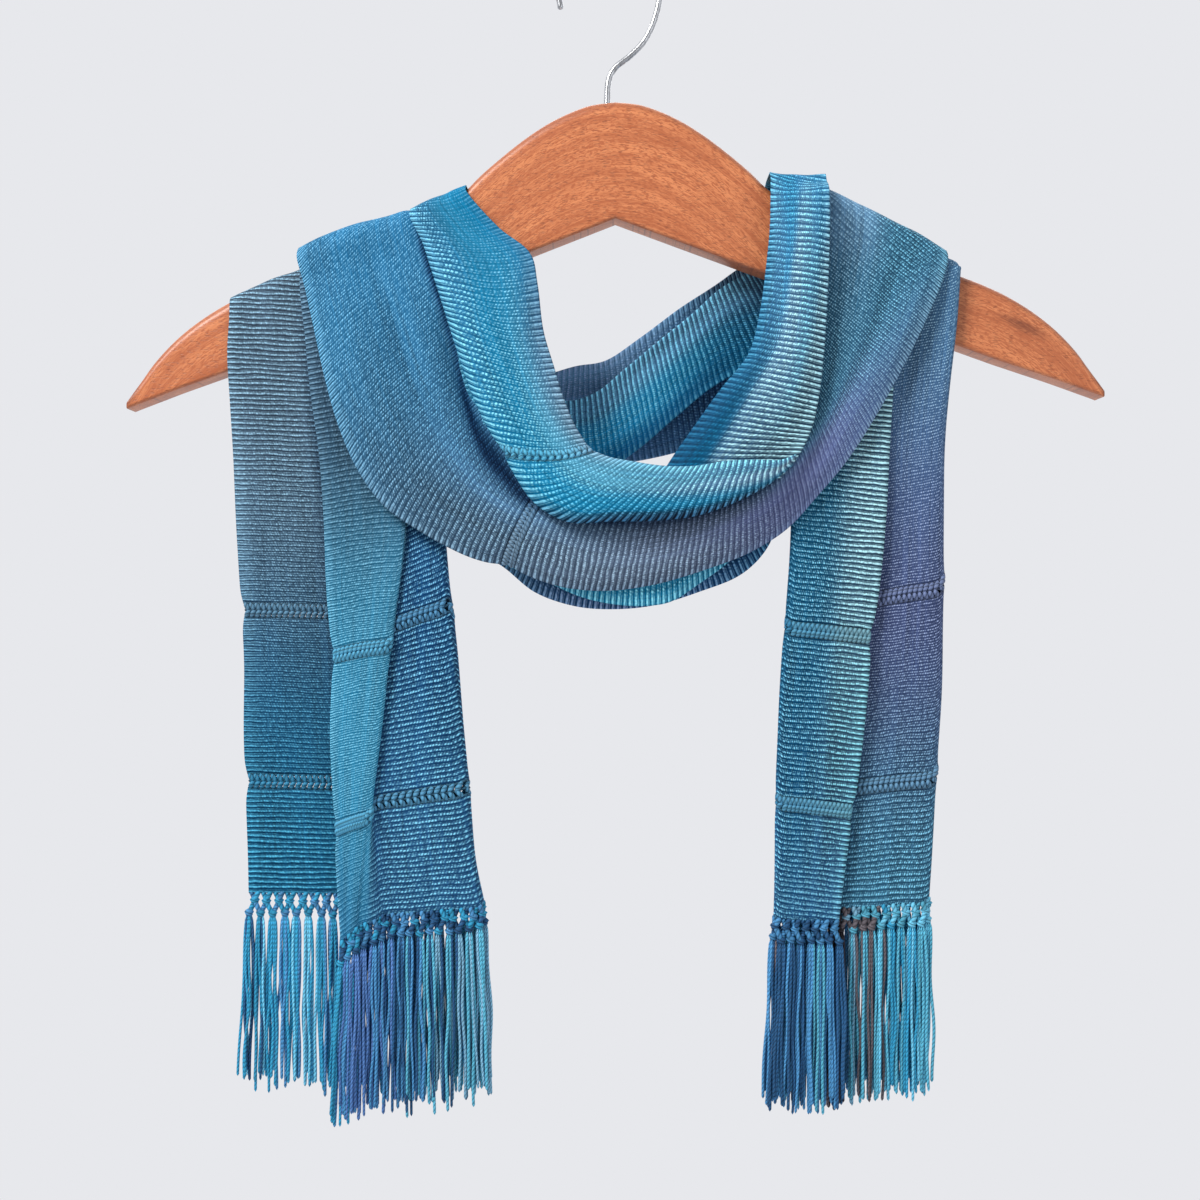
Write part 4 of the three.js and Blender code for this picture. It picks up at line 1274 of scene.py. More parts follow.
def leg_rows(columns: Sequence[str], table: Sequence[Sequence[float]], section_of: Callable) -> Array:
    """Sections of a leg: behind the arm, over it, and hanging through the rows of its table.

    Args:
        columns: Names of the numbers in a row.
        table: Rows of the leg, from its top to its hem.
        section_of: Function that makes a section from a named row.

    Returns:
        The rows of points.
    """
    rows = [dict(zip(columns, numbers)) for numbers in table]
    top = np.array(section_of(rows[0]))
    over = over_arm(top[None, :, 0], top[None, :, 1], WRAP_TURNS[:, None])
    tail = over[:1] - np.array([0, 0, TAIL_DROP])
    t = np.linspace(0, 1, len(top))
    hanging = []
    for row in rows:
        section = np.array(section_of(row))
        z = through(row["start_z"], row["turn_z"], row["end_z"], t)
        hanging.append(np.stack([section[:, 0], -ARM_HALF - section[:, 1], z], axis=-1))
    return np.concatenate([tail, over, np.array(hanging)])


@dataclass
class Leg(Sheet):
    """A leg of the scarf. Its weave is counted from the hem.

    Shrink scales that length at shares of the width where the cloth hangs askew, and tilt adds millimetres to it.
    """

    shrink: tuple[tuple[float, float], ...] = ((0.0, 1.0), (1.0, 1.0))
    tilt: tuple[tuple[float, float], ...] = ((0.0, 0.0), (1.0, 0.0))

    def weave(self) -> tuple[Array, Array]:
        """Millimetres across the cloth, and up it from the hem.

        Returns:
            The two lengths at each point.
        """
        across = np.broadcast_to(run_length(self.grid, 1).mean(axis=0)[None], self.share.shape)
        share, factor = np.array(self.shrink).T
        up = run_length(self.grid[::-1], 0)[::-1]
        return across, up * np.interp(self.share, share, factor) + np.interp(self.share, *np.array(self.tilt).T)


D, Y = Dye, Yarn
LEFT_COLUMNS = ("start_z", "turn_z", "end_z", "back_x", "right_x", "fold_x", "front_x", "tuck", "lift_a", "lift_b")
LEFT_LEG = (
    (-174, -151, -163, -173.1, -95, -103, -140, 20, 1.7, 3.3),
    (-190, -174, -182, -174, -91, -101, -138, 19.5, 1.7, 3.3),
    (-212, -204, -208, -172.9, -87, -98, -135.5, 18, 1.6, 3.4),
    (-238, -236, -238, -171.4, -81.5, -94.5, -131.3, 16, 1.6, 3.6),
    (-267, -267, -267, -170.1, -75.5, -92.1, -129, 13, 1.6, 5.4),
    (-300, -300, -300, -168.2, -72.4, -95.5, -127.2, 10, 1.6, 8),
    (-331, -331, -331, -166.4, -68.9, -99.4, -124.8, 8, 1.6, 8.4),
    (-365, -365, -365, -166.6, -65.9, -103.6, -125.6, 4, 1.6, 8.6),
    (-398, -398, -399, -165.4, -63.2, -107.4, -124, 0, 1.6, 8.6),
    (-420, -422, -430, -164.6, -61, -110.6, -122.6, -5, 1.6, 8.2),
    (-436.5, -443, -457.6, -164.3, -57.2, -113.5, -121, -9, 1.6, 7.6),
)
RIGHT_COLUMNS = ("start_z", "turn_z", "end_z", "hidden", "right_x", "left_x", "front_x", "lift_a", "lift_b", "lift_c")
RIGHT_LEG = (
    (-152, -152, -156, 10, 159.8, 84.5, 131, 1.8, 5.1, 8),
    (-172, -174, -176, 9, 158.1, 84, 130.4, 1.6, 5, 8.2),
    (-203, -204, -204, 8, 154.8, 83.6, 128.6, 1.6, 5.2, 8.6),
    (-235, -235, -235, 8, 152.4, 83.2, 126.8, 1.6, 5.4, 9),
    (-268, -268, -268, 8, 151.6, 83, 124.8, 1.6, 6, 10),
    (-300, -300, -300, 8, 151.6, 81, 121.6, 1.6, 6.4, 10.8),
    (-318, -318, -318, 8, 151.2, 79.5, 118.8, 1.6, 6.6, 11.2),
    (-350, -350, -350, 8, 150.5, 77, 116, 1.6, 6.8, 11.4),
    (-385, -385, -385, 8, 148.6, 75.8, 112, 1.6, 6.8, 11.4),
    (-413, -418, -419, 8, 146.6, 75.2, 107, 1.6, 6.6, 11.2),
    (-428, -442.3, -447.8, 8, 145.2, 74.7, 103.6, 1.6, 6.4, 10.8),
)
LEFT_BATHS = (
    Bath(0, 0.1, D.BROWN_SLATE, D.MIST, 0.7, 0.1, 0.78), Bath(3.2, 0.1, D.BROWN_SLATE, D.MIST, 0.7, 0.1, 0.78),
    Bath(4.6, 0.1, D.SLATE, D.MIST, 0.4, 0.8, 0.75), Bath(6.4, 0.1, D.DARK_TEAL, D.DIM_BLUE, 0.4, 0.8, 0.75),
    Bath(8, 0.1, D.OCEAN, D.CLEAR_SKY, 0.7, 0.1, 0.66), Bath(10, 0.1, D.OCEAN, D.CLEAR_SKY, 0.8, 0, 0.66),
    Bath(0, 0.92, D.DARK_SLATE, D.SLATE_MIST, 0.3, 0.2, 0.7),
    Bath(3.6, 0.92, D.DARK_SLATE, D.SLATE_MIST, 0.5, 0.2, 0.5), Bath(5.5, 0.92, D.TURQUOISE, D.SKY, 0.6, 0.9, 0.95),
    Bath(6.5, 0.92, D.TURQUOISE, D.SKY, 0.6, 0.9, 0.8), Bath(8, 0.92, D.TURQUOISE, D.SKY, 0.6, 0.9, 0.85),
    Bath(10, 0.95, D.SEA_BLUE, D.MID_BLUE), Bath(3.5, 0.5, D.INDIGO, D.AIR_BLUE, 0, 0.14),
    Bath(5, 0.5, D.INDIGO, D.AIR_BLUE, 0.2, 0.09), Bath(6.8, 0.5, D.INDIGO, D.SKY, 0.3, 0.045),
    Bath(8.4, 0.55, D.BLUE, D.SKY, 0.3, 0.09), Bath(10, 0.5, D.BLUE, D.SKY, 0.1, 0.14),
)
RIGHT_BATHS = (
    Bath(0, 0.45, D.DUSK_BLUE, D.MIST, 0, 1.0, 0.85), Bath(2, 0.45, D.DUSK_BLUE, D.MIST, 0, 1.0, 0.85),
    Bath(3.5, 0.45, D.PURPLE, D.LILAC_GREY, 0.3, 1.0, 0.85), Bath(6.8, 0.45, D.PURPLE, D.LILAC_GREY, 0.3, 1.0, 0.85),
    Bath(8.8, 0.45, D.TEAL, D.SKY, 0.1, 0.14, 1.15), Bath(10, 0.45, D.TEAL, D.SKY, 0.1, 0.14, 1.15),
    Bath(2, 0.87, D.DEEP_TURQUOISE, D.SKY, 0, 0.23), Bath(5, 0.87, D.DEEP_TURQUOISE, D.SKY, 0, 0.23),
    Bath(6, 0.76, D.DEEP_TURQUOISE, D.DIM_BLUE), Bath(7.2, 0.87, D.OCEAN, D.SKY, 0.1, 0.14),
    Bath(10, 0.8, D.BLUE, D.SKY, 0, 0.18), Bath(2, 0.98, D.SLATE, D.ICE, 0.8, 0, 1.1),
    Bath(5, 0.98, D.SLATE, D.ICE, 0.8, 0, 1.1), Bath(7.5, 0.98, D.SLATE, D.PALE_TURQUOISE, 0.4, 0.045),
    Bath(10, 0.95, D.BLUE, D.SKY, 0, 0.14),
)


# ---- loops --------------------------------------------------------------------------------------------------
OUTER_LEFT = Wrap(-141, -87, (10.3, 10.5, 3.2), (9.8, 10.3, 3.2))
OUTER_RIGHT = Wrap(153.5, 95.5, (8.4, 12.8, 13.8), (7.4, 10.6, 10.6))
INNER_LEFT = Wrap(-90.5, -65.4, (6.4, 5.6, 2), (6.4, 5.6, 2))
STRAP_WRAP = Wrap(73.3, 97.5, (6.6, 12.3, 17.8), (5.4, 10.6, 14.8), 0.36)
LOOP_OUTER = (
    (-137.9, -160, -18.2, -83, -146, -13, 2, 1, 0),
    (-134.1, -176.2, -19.5, -76, -167, -14.5, 3, 1.5, 0),
    (-129, -198.8, -20.5, -67.5, -191, -16, 3, 2, 0),
    (-122.6, -222.3, -21.5, -58, -213, -18, 3, 2, 0),
    (-113.5, -243.9, -22.5, -47, -231, -20, 3, 2.5, 0),
    (-101.2, -260.6, -24, -35.5, -244, -21.5, 2.5, 2.5, 0),
    (-84.7, -272.2, -24.5, -24, -253, -23, 2, 2.5, 0),
    (-64.5, -283, -25, -12, -258.5, -25, 2, 2.5, 0),
    (-44.4, -289.2, -25, -2, -261.5, -26, 2, 2.5, 0),
    (-22, -296.6, -25, 9, -262.5, -27, 2, 2.5, 0),
    (-1.9, -298.6, -25, 20.5, -261.2, -27, 2, 2.5, 0),
    (20.1, -295.9, -25, 33.7, -257.7, -27, 2, 2.5, 0),
    (42.9, -289.2, -25, 47.6, -252.3, -26.5, 2, 2.5, 0),
    (63, -281.6, -24.5, 60.6, -245.1, -26, 2, 2.5, 0),
    (79.7, -271.3, -24, 71, -236.1, -25, 2, 2.5, 0),
    (93.3, -256.4, -24, 80, -224.8, -24.5, 2, 2, 0),
    (105.9, -241.2, -24, 86.4, -212.6, -24, 2, 2, 0),
    (118.9, -221.4, -23.5, 90, -197.8, -24, 2, 2, 0),
    (129.8, -202.4, -22, 91.7, -182.3, -24, 2, 2, 0),
    (139.4, -183.9, -20.5, 92.8, -164.3, -24, 1.5, 1.5, 0),
    (146.6, -168.5, -18.4, 94, -147, -24, 1, 1, 0),
    (151, -158, -17, 94.6, -138, -24, 0.5, 0.5, 0),
)
LOOP_INNER = (
    (-84.8, -140.5, -16, -50, -134, -11, 1.5, 1.5, 0),
    (-80.9, -151.8, -17.5, -35.8, -145.9, -13, 2, 2, 0),
    (-76.2, -165.7, -19.5, -32.4, -160.1, -16, 2.5, 2.5, 0),
    (-71.5, -180.4, -22, -29.6, -181.6, -20, 3, 3, 0),
    (-63.1, -206.1, -26, -24.7, -198.8, -24, 3, 3, 0),
    (-53.9, -226.6, -30, -20.1, -213.9, -27, 3, 3.5, 0.5),
    (-43.1, -245.5, -33, -13, -229.4, -30, 3, 4, 1.5),
    (-32.8, -260.3, -36, -2.3, -239, -33, 3, 4, 2.5),
    (-18.2, -268.4, -38, 10, -242.2, -35, 3, 4, 3),
    (0.3, -268, -39, 22.3, -244.1, -36, 3, 4, 3),
    (20.1, -267.5, -39, 37.7, -244.2, -37, 3, 4, 3),
    (38.9, -265.3, -39, 52.2, -242, -37.5, 2.5, 3.5, 2.5),
    (54.4, -260, -38, 64.9, -241.6, -37.5, 2, 2.5, 2),
    (69.9, -252, -36.5, 76, -241.5, -36.5, 1, 1.5, 1),
    (80.5, -243.5, -35, 82.5, -239, -35, 0.5, 0, 0),
)
STRAP = (
    (73.1, -124, -18, 97.3, -121, -33, 1, 1, 0),
    (72.8, -136.2, -20, 97.6, -134.6, -33, 1.5, 2, 0),
    (70.8, -155, -22, 97.3, -153.4, -32.5, 2, 2.5, 0),
    (67.5, -175.5, -24, 96.4, -174.7, -32, 2, 2.5, 0),
    (62.5, -193, -25.5, 95.1, -193.3, -32, 2, 2, 0),
    (50.3, -208.6, -27, 93, -212.2, -31.5, 2, 2, 0),
    (37.7, -226.1, -28.5, 89.5, -227.7, -31, 1.5, 2, 0),
    (25.7, -243.5, -29.5, 83.2, -240.1, -31, 1, 2, 0),
    (20.3, -254, -30.5, 75.7, -249, -31, 0.5, 1.5, 0),
)
UNDERFOLD_NEAR = (
    (-72, -161, -12, -58, -152, -12, 0, 0, 0),
    (-74, -190, -13.5, -54, -186, -14, 0, 0, 0),
    (-75, -220, -14, -55, -214, -15, 0, 0, 0),
    (-73, -250, -16, -57, -236, -17, 0, 0, 0),
    (-65, -273.5, -18, -51, -250, -18, 0, 0.5, 0),
    (-49.3, -285.9, -18.5, -38, -260, -18.5, 0, 1, 0),
    (-28.9, -294.5, -19, -22.1, -267.5, -19, 0, 1, 0),
    (-13.6, -301.3, -19.5, -8.6, -271.6, -19.5, 0, 1.5, 0),
    (-0.9, -304.5, -19.5, 1.3, -272.9, -19.5, 0, 1.5, 0),
    (13.9, -305.8, -19.5, 13.9, -272.5, -19.5, 0, 1.5, 0),
    (27.4, -304, -19.5, 26.5, -269.8, -19.5, 0, 1.5, 0),
    (41, -295.4, -19, 38.3, -264.7, -19, 0, 1.5, 0),
    (54.6, -285.1, -18.5, 49, -258, -18.5, 0, 1, 0),
    (67, -270, -18, 59, -246, -18, 0, 0.5, 0),
    (76, -246, -17, 64, -230, -17.5, 0, 0, 0),
    (80, -215, -15.5, 67, -206, -16, 0, 0, 0),
    (81, -190, -14.5, 70, -186, -14.5, 0, 0, 0),
    (81, -164, -13, 73, -162, -13, 0, 0, 0),
)
UNDERFOLD_FAR = (
    (-77, -161, -10.5, -60, -153, -9.6, 0, 0, 0),
    (-75.5, -190, -10.5, -56, -186, -10.5, 0, 0, 0),
    (-74, -220, -10.5, -57, -216, -10.8, 0, 0, 0),
    (-71.5, -250, -11, -58, -240, -11.5, 0, 0, 0),
    (-68.5, -267, -12, -54, -252, -12, 0, 0, 0),
    (-60.5, -279.5, -12, -48, -259, -12, 0, 0.5, 0),
    (-47.3, -288.6, -12.5, -38, -268, -12.5, 0, 1, 0),
    (-33.7, -299.5, -13, -26, -276, -13, 0, 1, 0),
    (-15.5, -305.8, -13.5, -11, -281, -13.5, 0, 1.5, 0),
    (2.3, -307.2, -13.5, 4.1, -282, -13.5, 0, 1.5, 0),
    (20.9, -305.4, -13.5, 18.6, -280, -13.5, 0, 1.5, 0),
    (40.5, -299.5, -13, 34.6, -275.5, -13, 0, 1, 0),
    (60.9, -290.8, -12.5, 50, -267, -12.5, 0, 1, 0),
    (73, -277.5, -12, 60, -256, -12, 0, 0.5, 0),
    (78, -258, -11.5, 66.5, -244, -12, 0, 0, 0),
    (79.5, -225, -11, 69, -218, -11.5, 0, 0, 0),
    (80, -195, -10.8, 70, -192, -10.8, 0, 0, 0),
    (80, -166, -10, 72, -163, -9.8, 0, 0, 0),
)
NEAR_JOINS = (Wrap(-140, -66, (0, 0, 0), (9.6, 8.4, 3)), Wrap(158, 85, (0, 0, 0), (5, 4.6, 4)))
BACK_NEAR = (
    (-113, -183, 17, -60, -150, 11.5, 0, 0, 0),
    (-88, -203, 16, -60, -168, 12.5, 0, 0, 0),
    (-64, -224, 17, -54.9, -185, 13.5, 0, 0, -1),
    (-42, -238, 18, -39.4, -202, 14, 1, 0, -1),
    (-20.2, -244, 18.5, -20.1, -209.5, 14, 1.5, 0, -1),
    (-1.7, -241.6, 18.5, -6.5, -205.7, 14, 1.5, 0, -1),
    (14.8, -231.2, 17.5, 7.6, -194.6, 13, 1.5, 0, -1),
    (31.7, -216.8, 16, 23.1, -182, 12, 1.5, 0, -1),
    (48.7, -203, 15.5, 39, -169.1, 11, 1.5, 0, -0.5),
    (66, -194, 15.5, 52.1, -157.4, 10.5, 1, 0, 0),
    (90, -190, 15, 66, -149.5, 10.5, 0, 0, 0),
    (120, -187, 14, 76, -146, 10.8, 0, 0, 0),
)
FAR_JOINS = (Wrap(-170, -98.5, (0, 0, 0), (4, 4, 4)), Wrap(152, 75.2, (0, 0, 0), (8.5, 11, 8.8)))
BACK_FAR = (
    (-160, -206, 20, -125, -181, 16, 0, 0, 0),
    (-138, -222, 27, -109, -193, 23, 0, 0, 0),
    (-112, -232, 30, -88, -196, 25.5, 0, 0, 0),
    (-84, -238, 31, -66, -198, 26.5, 0, 0, 0),
    (-50, -240, 31, -42, -198.5, 26.5, 0.5, 0, 0),
    (-18.5, -239, 31, -16, -191.5, 26, 1, 0, 0),
    (3, -238, 30, -1.7, -189, 25.5, 1.5, 0, 0),
    (24, -234.5, 29, 15, -178.2, 24.5, 1.5, 0, 0),
    (44, -229, 28, 34, -164.2, 23.5, 1, 0, 0),
    (64, -221, 27, 50.5, -153.6, 22.5, 0, 0, 0),
    (87, -211, 25.5, 63, -145, 21, 0, 0, 0),
    (113, -200, 22.5, 69, -142.5, 19, 0, 0, 0),
)
OUTER_BATHS = (
    Bath(-4, 0.5, D.SEA_BLUE, D.AIR_BLUE, 0, 0.75), Bath(0, 0.2, D.SEA_BLUE, D.AIR_BLUE, 0, 0.8, 0.85),
    Bath(0, 0.8, D.SEA_BLUE, D.AIR_BLUE, 0, 0.8, 0.85), Bath(2.7, 0.2, D.BLUE_TEAL, D.AIR_BLUE, 0, 0.75),
    Bath(2.7, 0.8, D.BLUE_TEAL, D.AIR_BLUE, 0, 0.75), Bath(5, 0.2, D.SLATE, D.SLATE_MIST, 0, 0.4, 0.85),
    Bath(5, 0.8, D.DUSK_BLUE, D.AIR_BLUE, 0, 0.6, 0.8), Bath(7, 0.2, D.SLATE, D.MIST, 0.3, 0),
    Bath(7, 0.7, D.DUSK_BLUE, D.MIST, 0, 0.14), Bath(9, 0.2, D.GREY_SLATE, D.PEARL, 0.5, 0, 1.0),
    Bath(9, 0.7, D.GREY_SLATE, D.PEARL, 0.2, 0.045), Bath(11.5, 0.2, D.GREY_SLATE, D.PEARL, 0.4, 0, 1.0),
    Bath(11.5, 0.7, D.GREY_SLATE, D.LILAC_GREY, 0, 0.09), Bath(14.3, 0.3, D.DUSK_PURPLE, D.LILAC_GREY, 0, 0.3),
    Bath(14.3, 0.85, D.DUSK_BLUE, D.MIST), Bath(15.8, 0.15, D.DUSK_PURPLE, D.LILAC_GREY, 0, 0.6),
    Bath(17, 0.75, D.TEAL, D.SKY, 0, 0.95), Bath(18.2, 0.1, D.DUSK_BLUE, D.MIST, 0, 0.7),
    Bath(19.4, 0.3, D.TEAL, D.SKY, 0, 0.95), Bath(19.5, 0.75, D.TEAL, D.MIST, 0, 0.7),
    Bath(22.5, 0.3, D.TEAL, D.SKY, 0, 0.18), Bath(23, 0.8, D.PALE_SLATE, D.MIST, 0, 0.23),
    # The last four baths, of navy, are painted shade: the pocket where the outer loop runs under the inner loop.
    Bath(26, 0.3, D.TEAL, D.SKY, 0, 0.18), Bath(26, 0.8, D.PALE_SLATE, D.MIST), Bath(6.3, 1.02, D.PAINTED_SHADE_NAVY, D.OCEAN),
    Bath(8.2, 1.0, D.PAINTED_SHADE_NAVY, D.OCEAN), Bath(10, 1.0, D.PAINTED_SHADE_NAVY, D.OCEAN), Bath(12, 1.02, D.PAINTED_SHADE_NAVY, D.OCEAN),
)
INNER_BATHS = (
    Bath(-4, 0.4, D.SEA_BLUE, D.AIR_BLUE, 0, 0.8, 0.7), Bath(0, 0.12, D.SEA_BLUE, D.SKY, 0, 0.23),
    Bath(0, 0.5, D.TURQUOISE, D.MID_BLUE, 0, 0.85, 0.4), Bath(0, 0.9, D.BRIGHT_TURQUOISE, D.DIM_BLUE, 0, 0.85, 0.6),
    Bath(3, 0.15, D.SEA_BLUE, D.PALE_TURQUOISE, 0, 0.045), Bath(3, 0.5, D.BRIGHT_TURQUOISE, D.SKY, 0, 0.65, 0.75),
    Bath(3, 0.8, D.TURQUOISE, D.SKY, 0, 0.95), Bath(3, 1.0, D.DUSK_BLUE, D.MIST, 0.2, 0.14),
    Bath(5.2, 0.15, D.BRIGHT_TURQUOISE, D.PALE_TURQUOISE, 0, 0.09),
    Bath(5.2, 0.5, D.BRIGHT_TURQUOISE, D.PALE_TURQUOISE, 0, 0.65, 1.0),
    Bath(5, 0.92, D.GREY_SLATE, D.PEARL, 0.3, 0.09, 0.9), Bath(6.5, 0.7, D.GREY_TURQUOISE, D.SKY, 0, 0.65),
    Bath(7.5, 0.3, D.BRIGHT_TURQUOISE, D.CLEAR_SKY, 0, 0.18), Bath(7.8, 0.8, D.GREY_TURQUOISE, D.SKY, 0, 0.32, 0.9),
    Bath(10, 0.3, D.BRIGHT_TURQUOISE, D.CLEAR_SKY, 0, 0.09, 1.0),
    # The two navy baths at share 0, rows 9 and 10.6, are painted shade where the inner loop's lower edge turns under.
    Bath(10, 0.8, D.DUSK_BLUE, D.PALE_TURQUOISE, 0.2, 0.09), Bath(9, -0.06, D.PAINTED_SHADE_NAVY, D.AIR_BLUE),
    Bath(10.6, -0.04, D.PAINTED_SHADE_NAVY, D.AIR_BLUE), Bath(12, 0.5, D.DUSK_BLUE, D.ICE, 0.5, 0),
    Bath(14, 0.5, D.GREY_SLATE, D.ICE, 0.9, 0),
)
STRAP_BATHS = (
    Bath(-4, 0.5, D.SEA_BLUE, D.AIR_BLUE, 0, 0.23), Bath(0, 0.3, D.SEA_BLUE, D.CLEAR_SKY, 0, 0.23, 0.85),
    Bath(0, 0.8, D.SEA_BLUE, D.SKY, 0.2, 0.14, 0.8), Bath(2.3, 0.2, D.STEEL_BLUE, D.SKY, 0, 0.14),
    Bath(2.3, 0.7, D.DUSK_BLUE, D.PALE_TURQUOISE, 0.5, 0), Bath(4.2, 0.05, D.OCEAN, D.DIM_BLUE, 0, 0.14),
    Bath(4.2, 0.5, D.DUSK_BLUE, D.ICE, 0.5, 0), Bath(4.2, 0.9, D.SLATE, D.ICE, 0.7, 0),
    Bath(5.6, 0.1, D.DEEP_TURQUOISE, D.BRIGHT_TURQUOISE), Bath(5.6, 0.48, D.DUSK_BLUE, D.ICE, 0.6, 0),
    Bath(5.6, 0.9, D.SLATE, D.ICE, 0.7, 0), Bath(6.6, 0.15, D.DEEP_TURQUOISE, D.BRIGHT_TURQUOISE),
    Bath(6.6, 0.48, D.DUSK_BLUE, D.ICE, 0.6, 0), Bath(8, 0.18, D.DEEP_TURQUOISE, D.BRIGHT_TURQUOISE),
    Bath(8, 0.6, D.SLATE, D.ICE, 0.5, 0),
)
NEAR_BATHS = (
    Bath(0, 0.5, D.TEAL, D.SKY), Bath(4, 0.3, D.LAGOON, D.PALE_TURQUOISE, 0, 0.1),
    Bath(4, 0.97, D.DUSK_BLUE, D.SKY, 0.7, 0), Bath(6.5, 0.3, D.LAGOON, D.PALE_TURQUOISE, 0, 0.1),
    Bath(6.5, 0.97, D.DUSK_BLUE, D.SKY, 0.7, 0), Bath(8.6, 0.3, D.DEEP_TURQUOISE, D.CLEAR_SKY, 0, 0.1),
    Bath(8.6, 0.95, D.DUSK_BLUE, D.SKY, 0.5, 0), Bath(12, 0.5, D.OCEAN, D.AIR_BLUE),
)
FAR_BATHS = (
    Bath(0, 0.5, D.BLUE, D.MIST), Bath(6, 0.5, D.PALE_SLATE, D.LILAC_GREY, 0.2, 0.3),
    Bath(8, 0.5, D.INDIGO, D.AIR_BLUE, 0, 0.3), Bath(12, 0.5, D.OCEAN, D.AIR_BLUE),
)
UNDER_NEAR_BATHS = (
    Bath(4, 0.3, D.TURQUOISE, D.SKY, 0.5), Bath(9, 0.3, D.BRIGHT_TURQUOISE, D.PALE_TURQUOISE, 0.4),
    Bath(13, 0.3, D.TURQUOISE, D.SKY),
)
UNDER_FAR_BATHS = (
    Bath(5, 0.5, D.SLATE, D.DIM_BLUE), Bath(9, 0.5, D.INDIGO, D.LILAC_GREY), Bath(13, 0.5, D.INDIGO, D.DIM_BLUE),
)


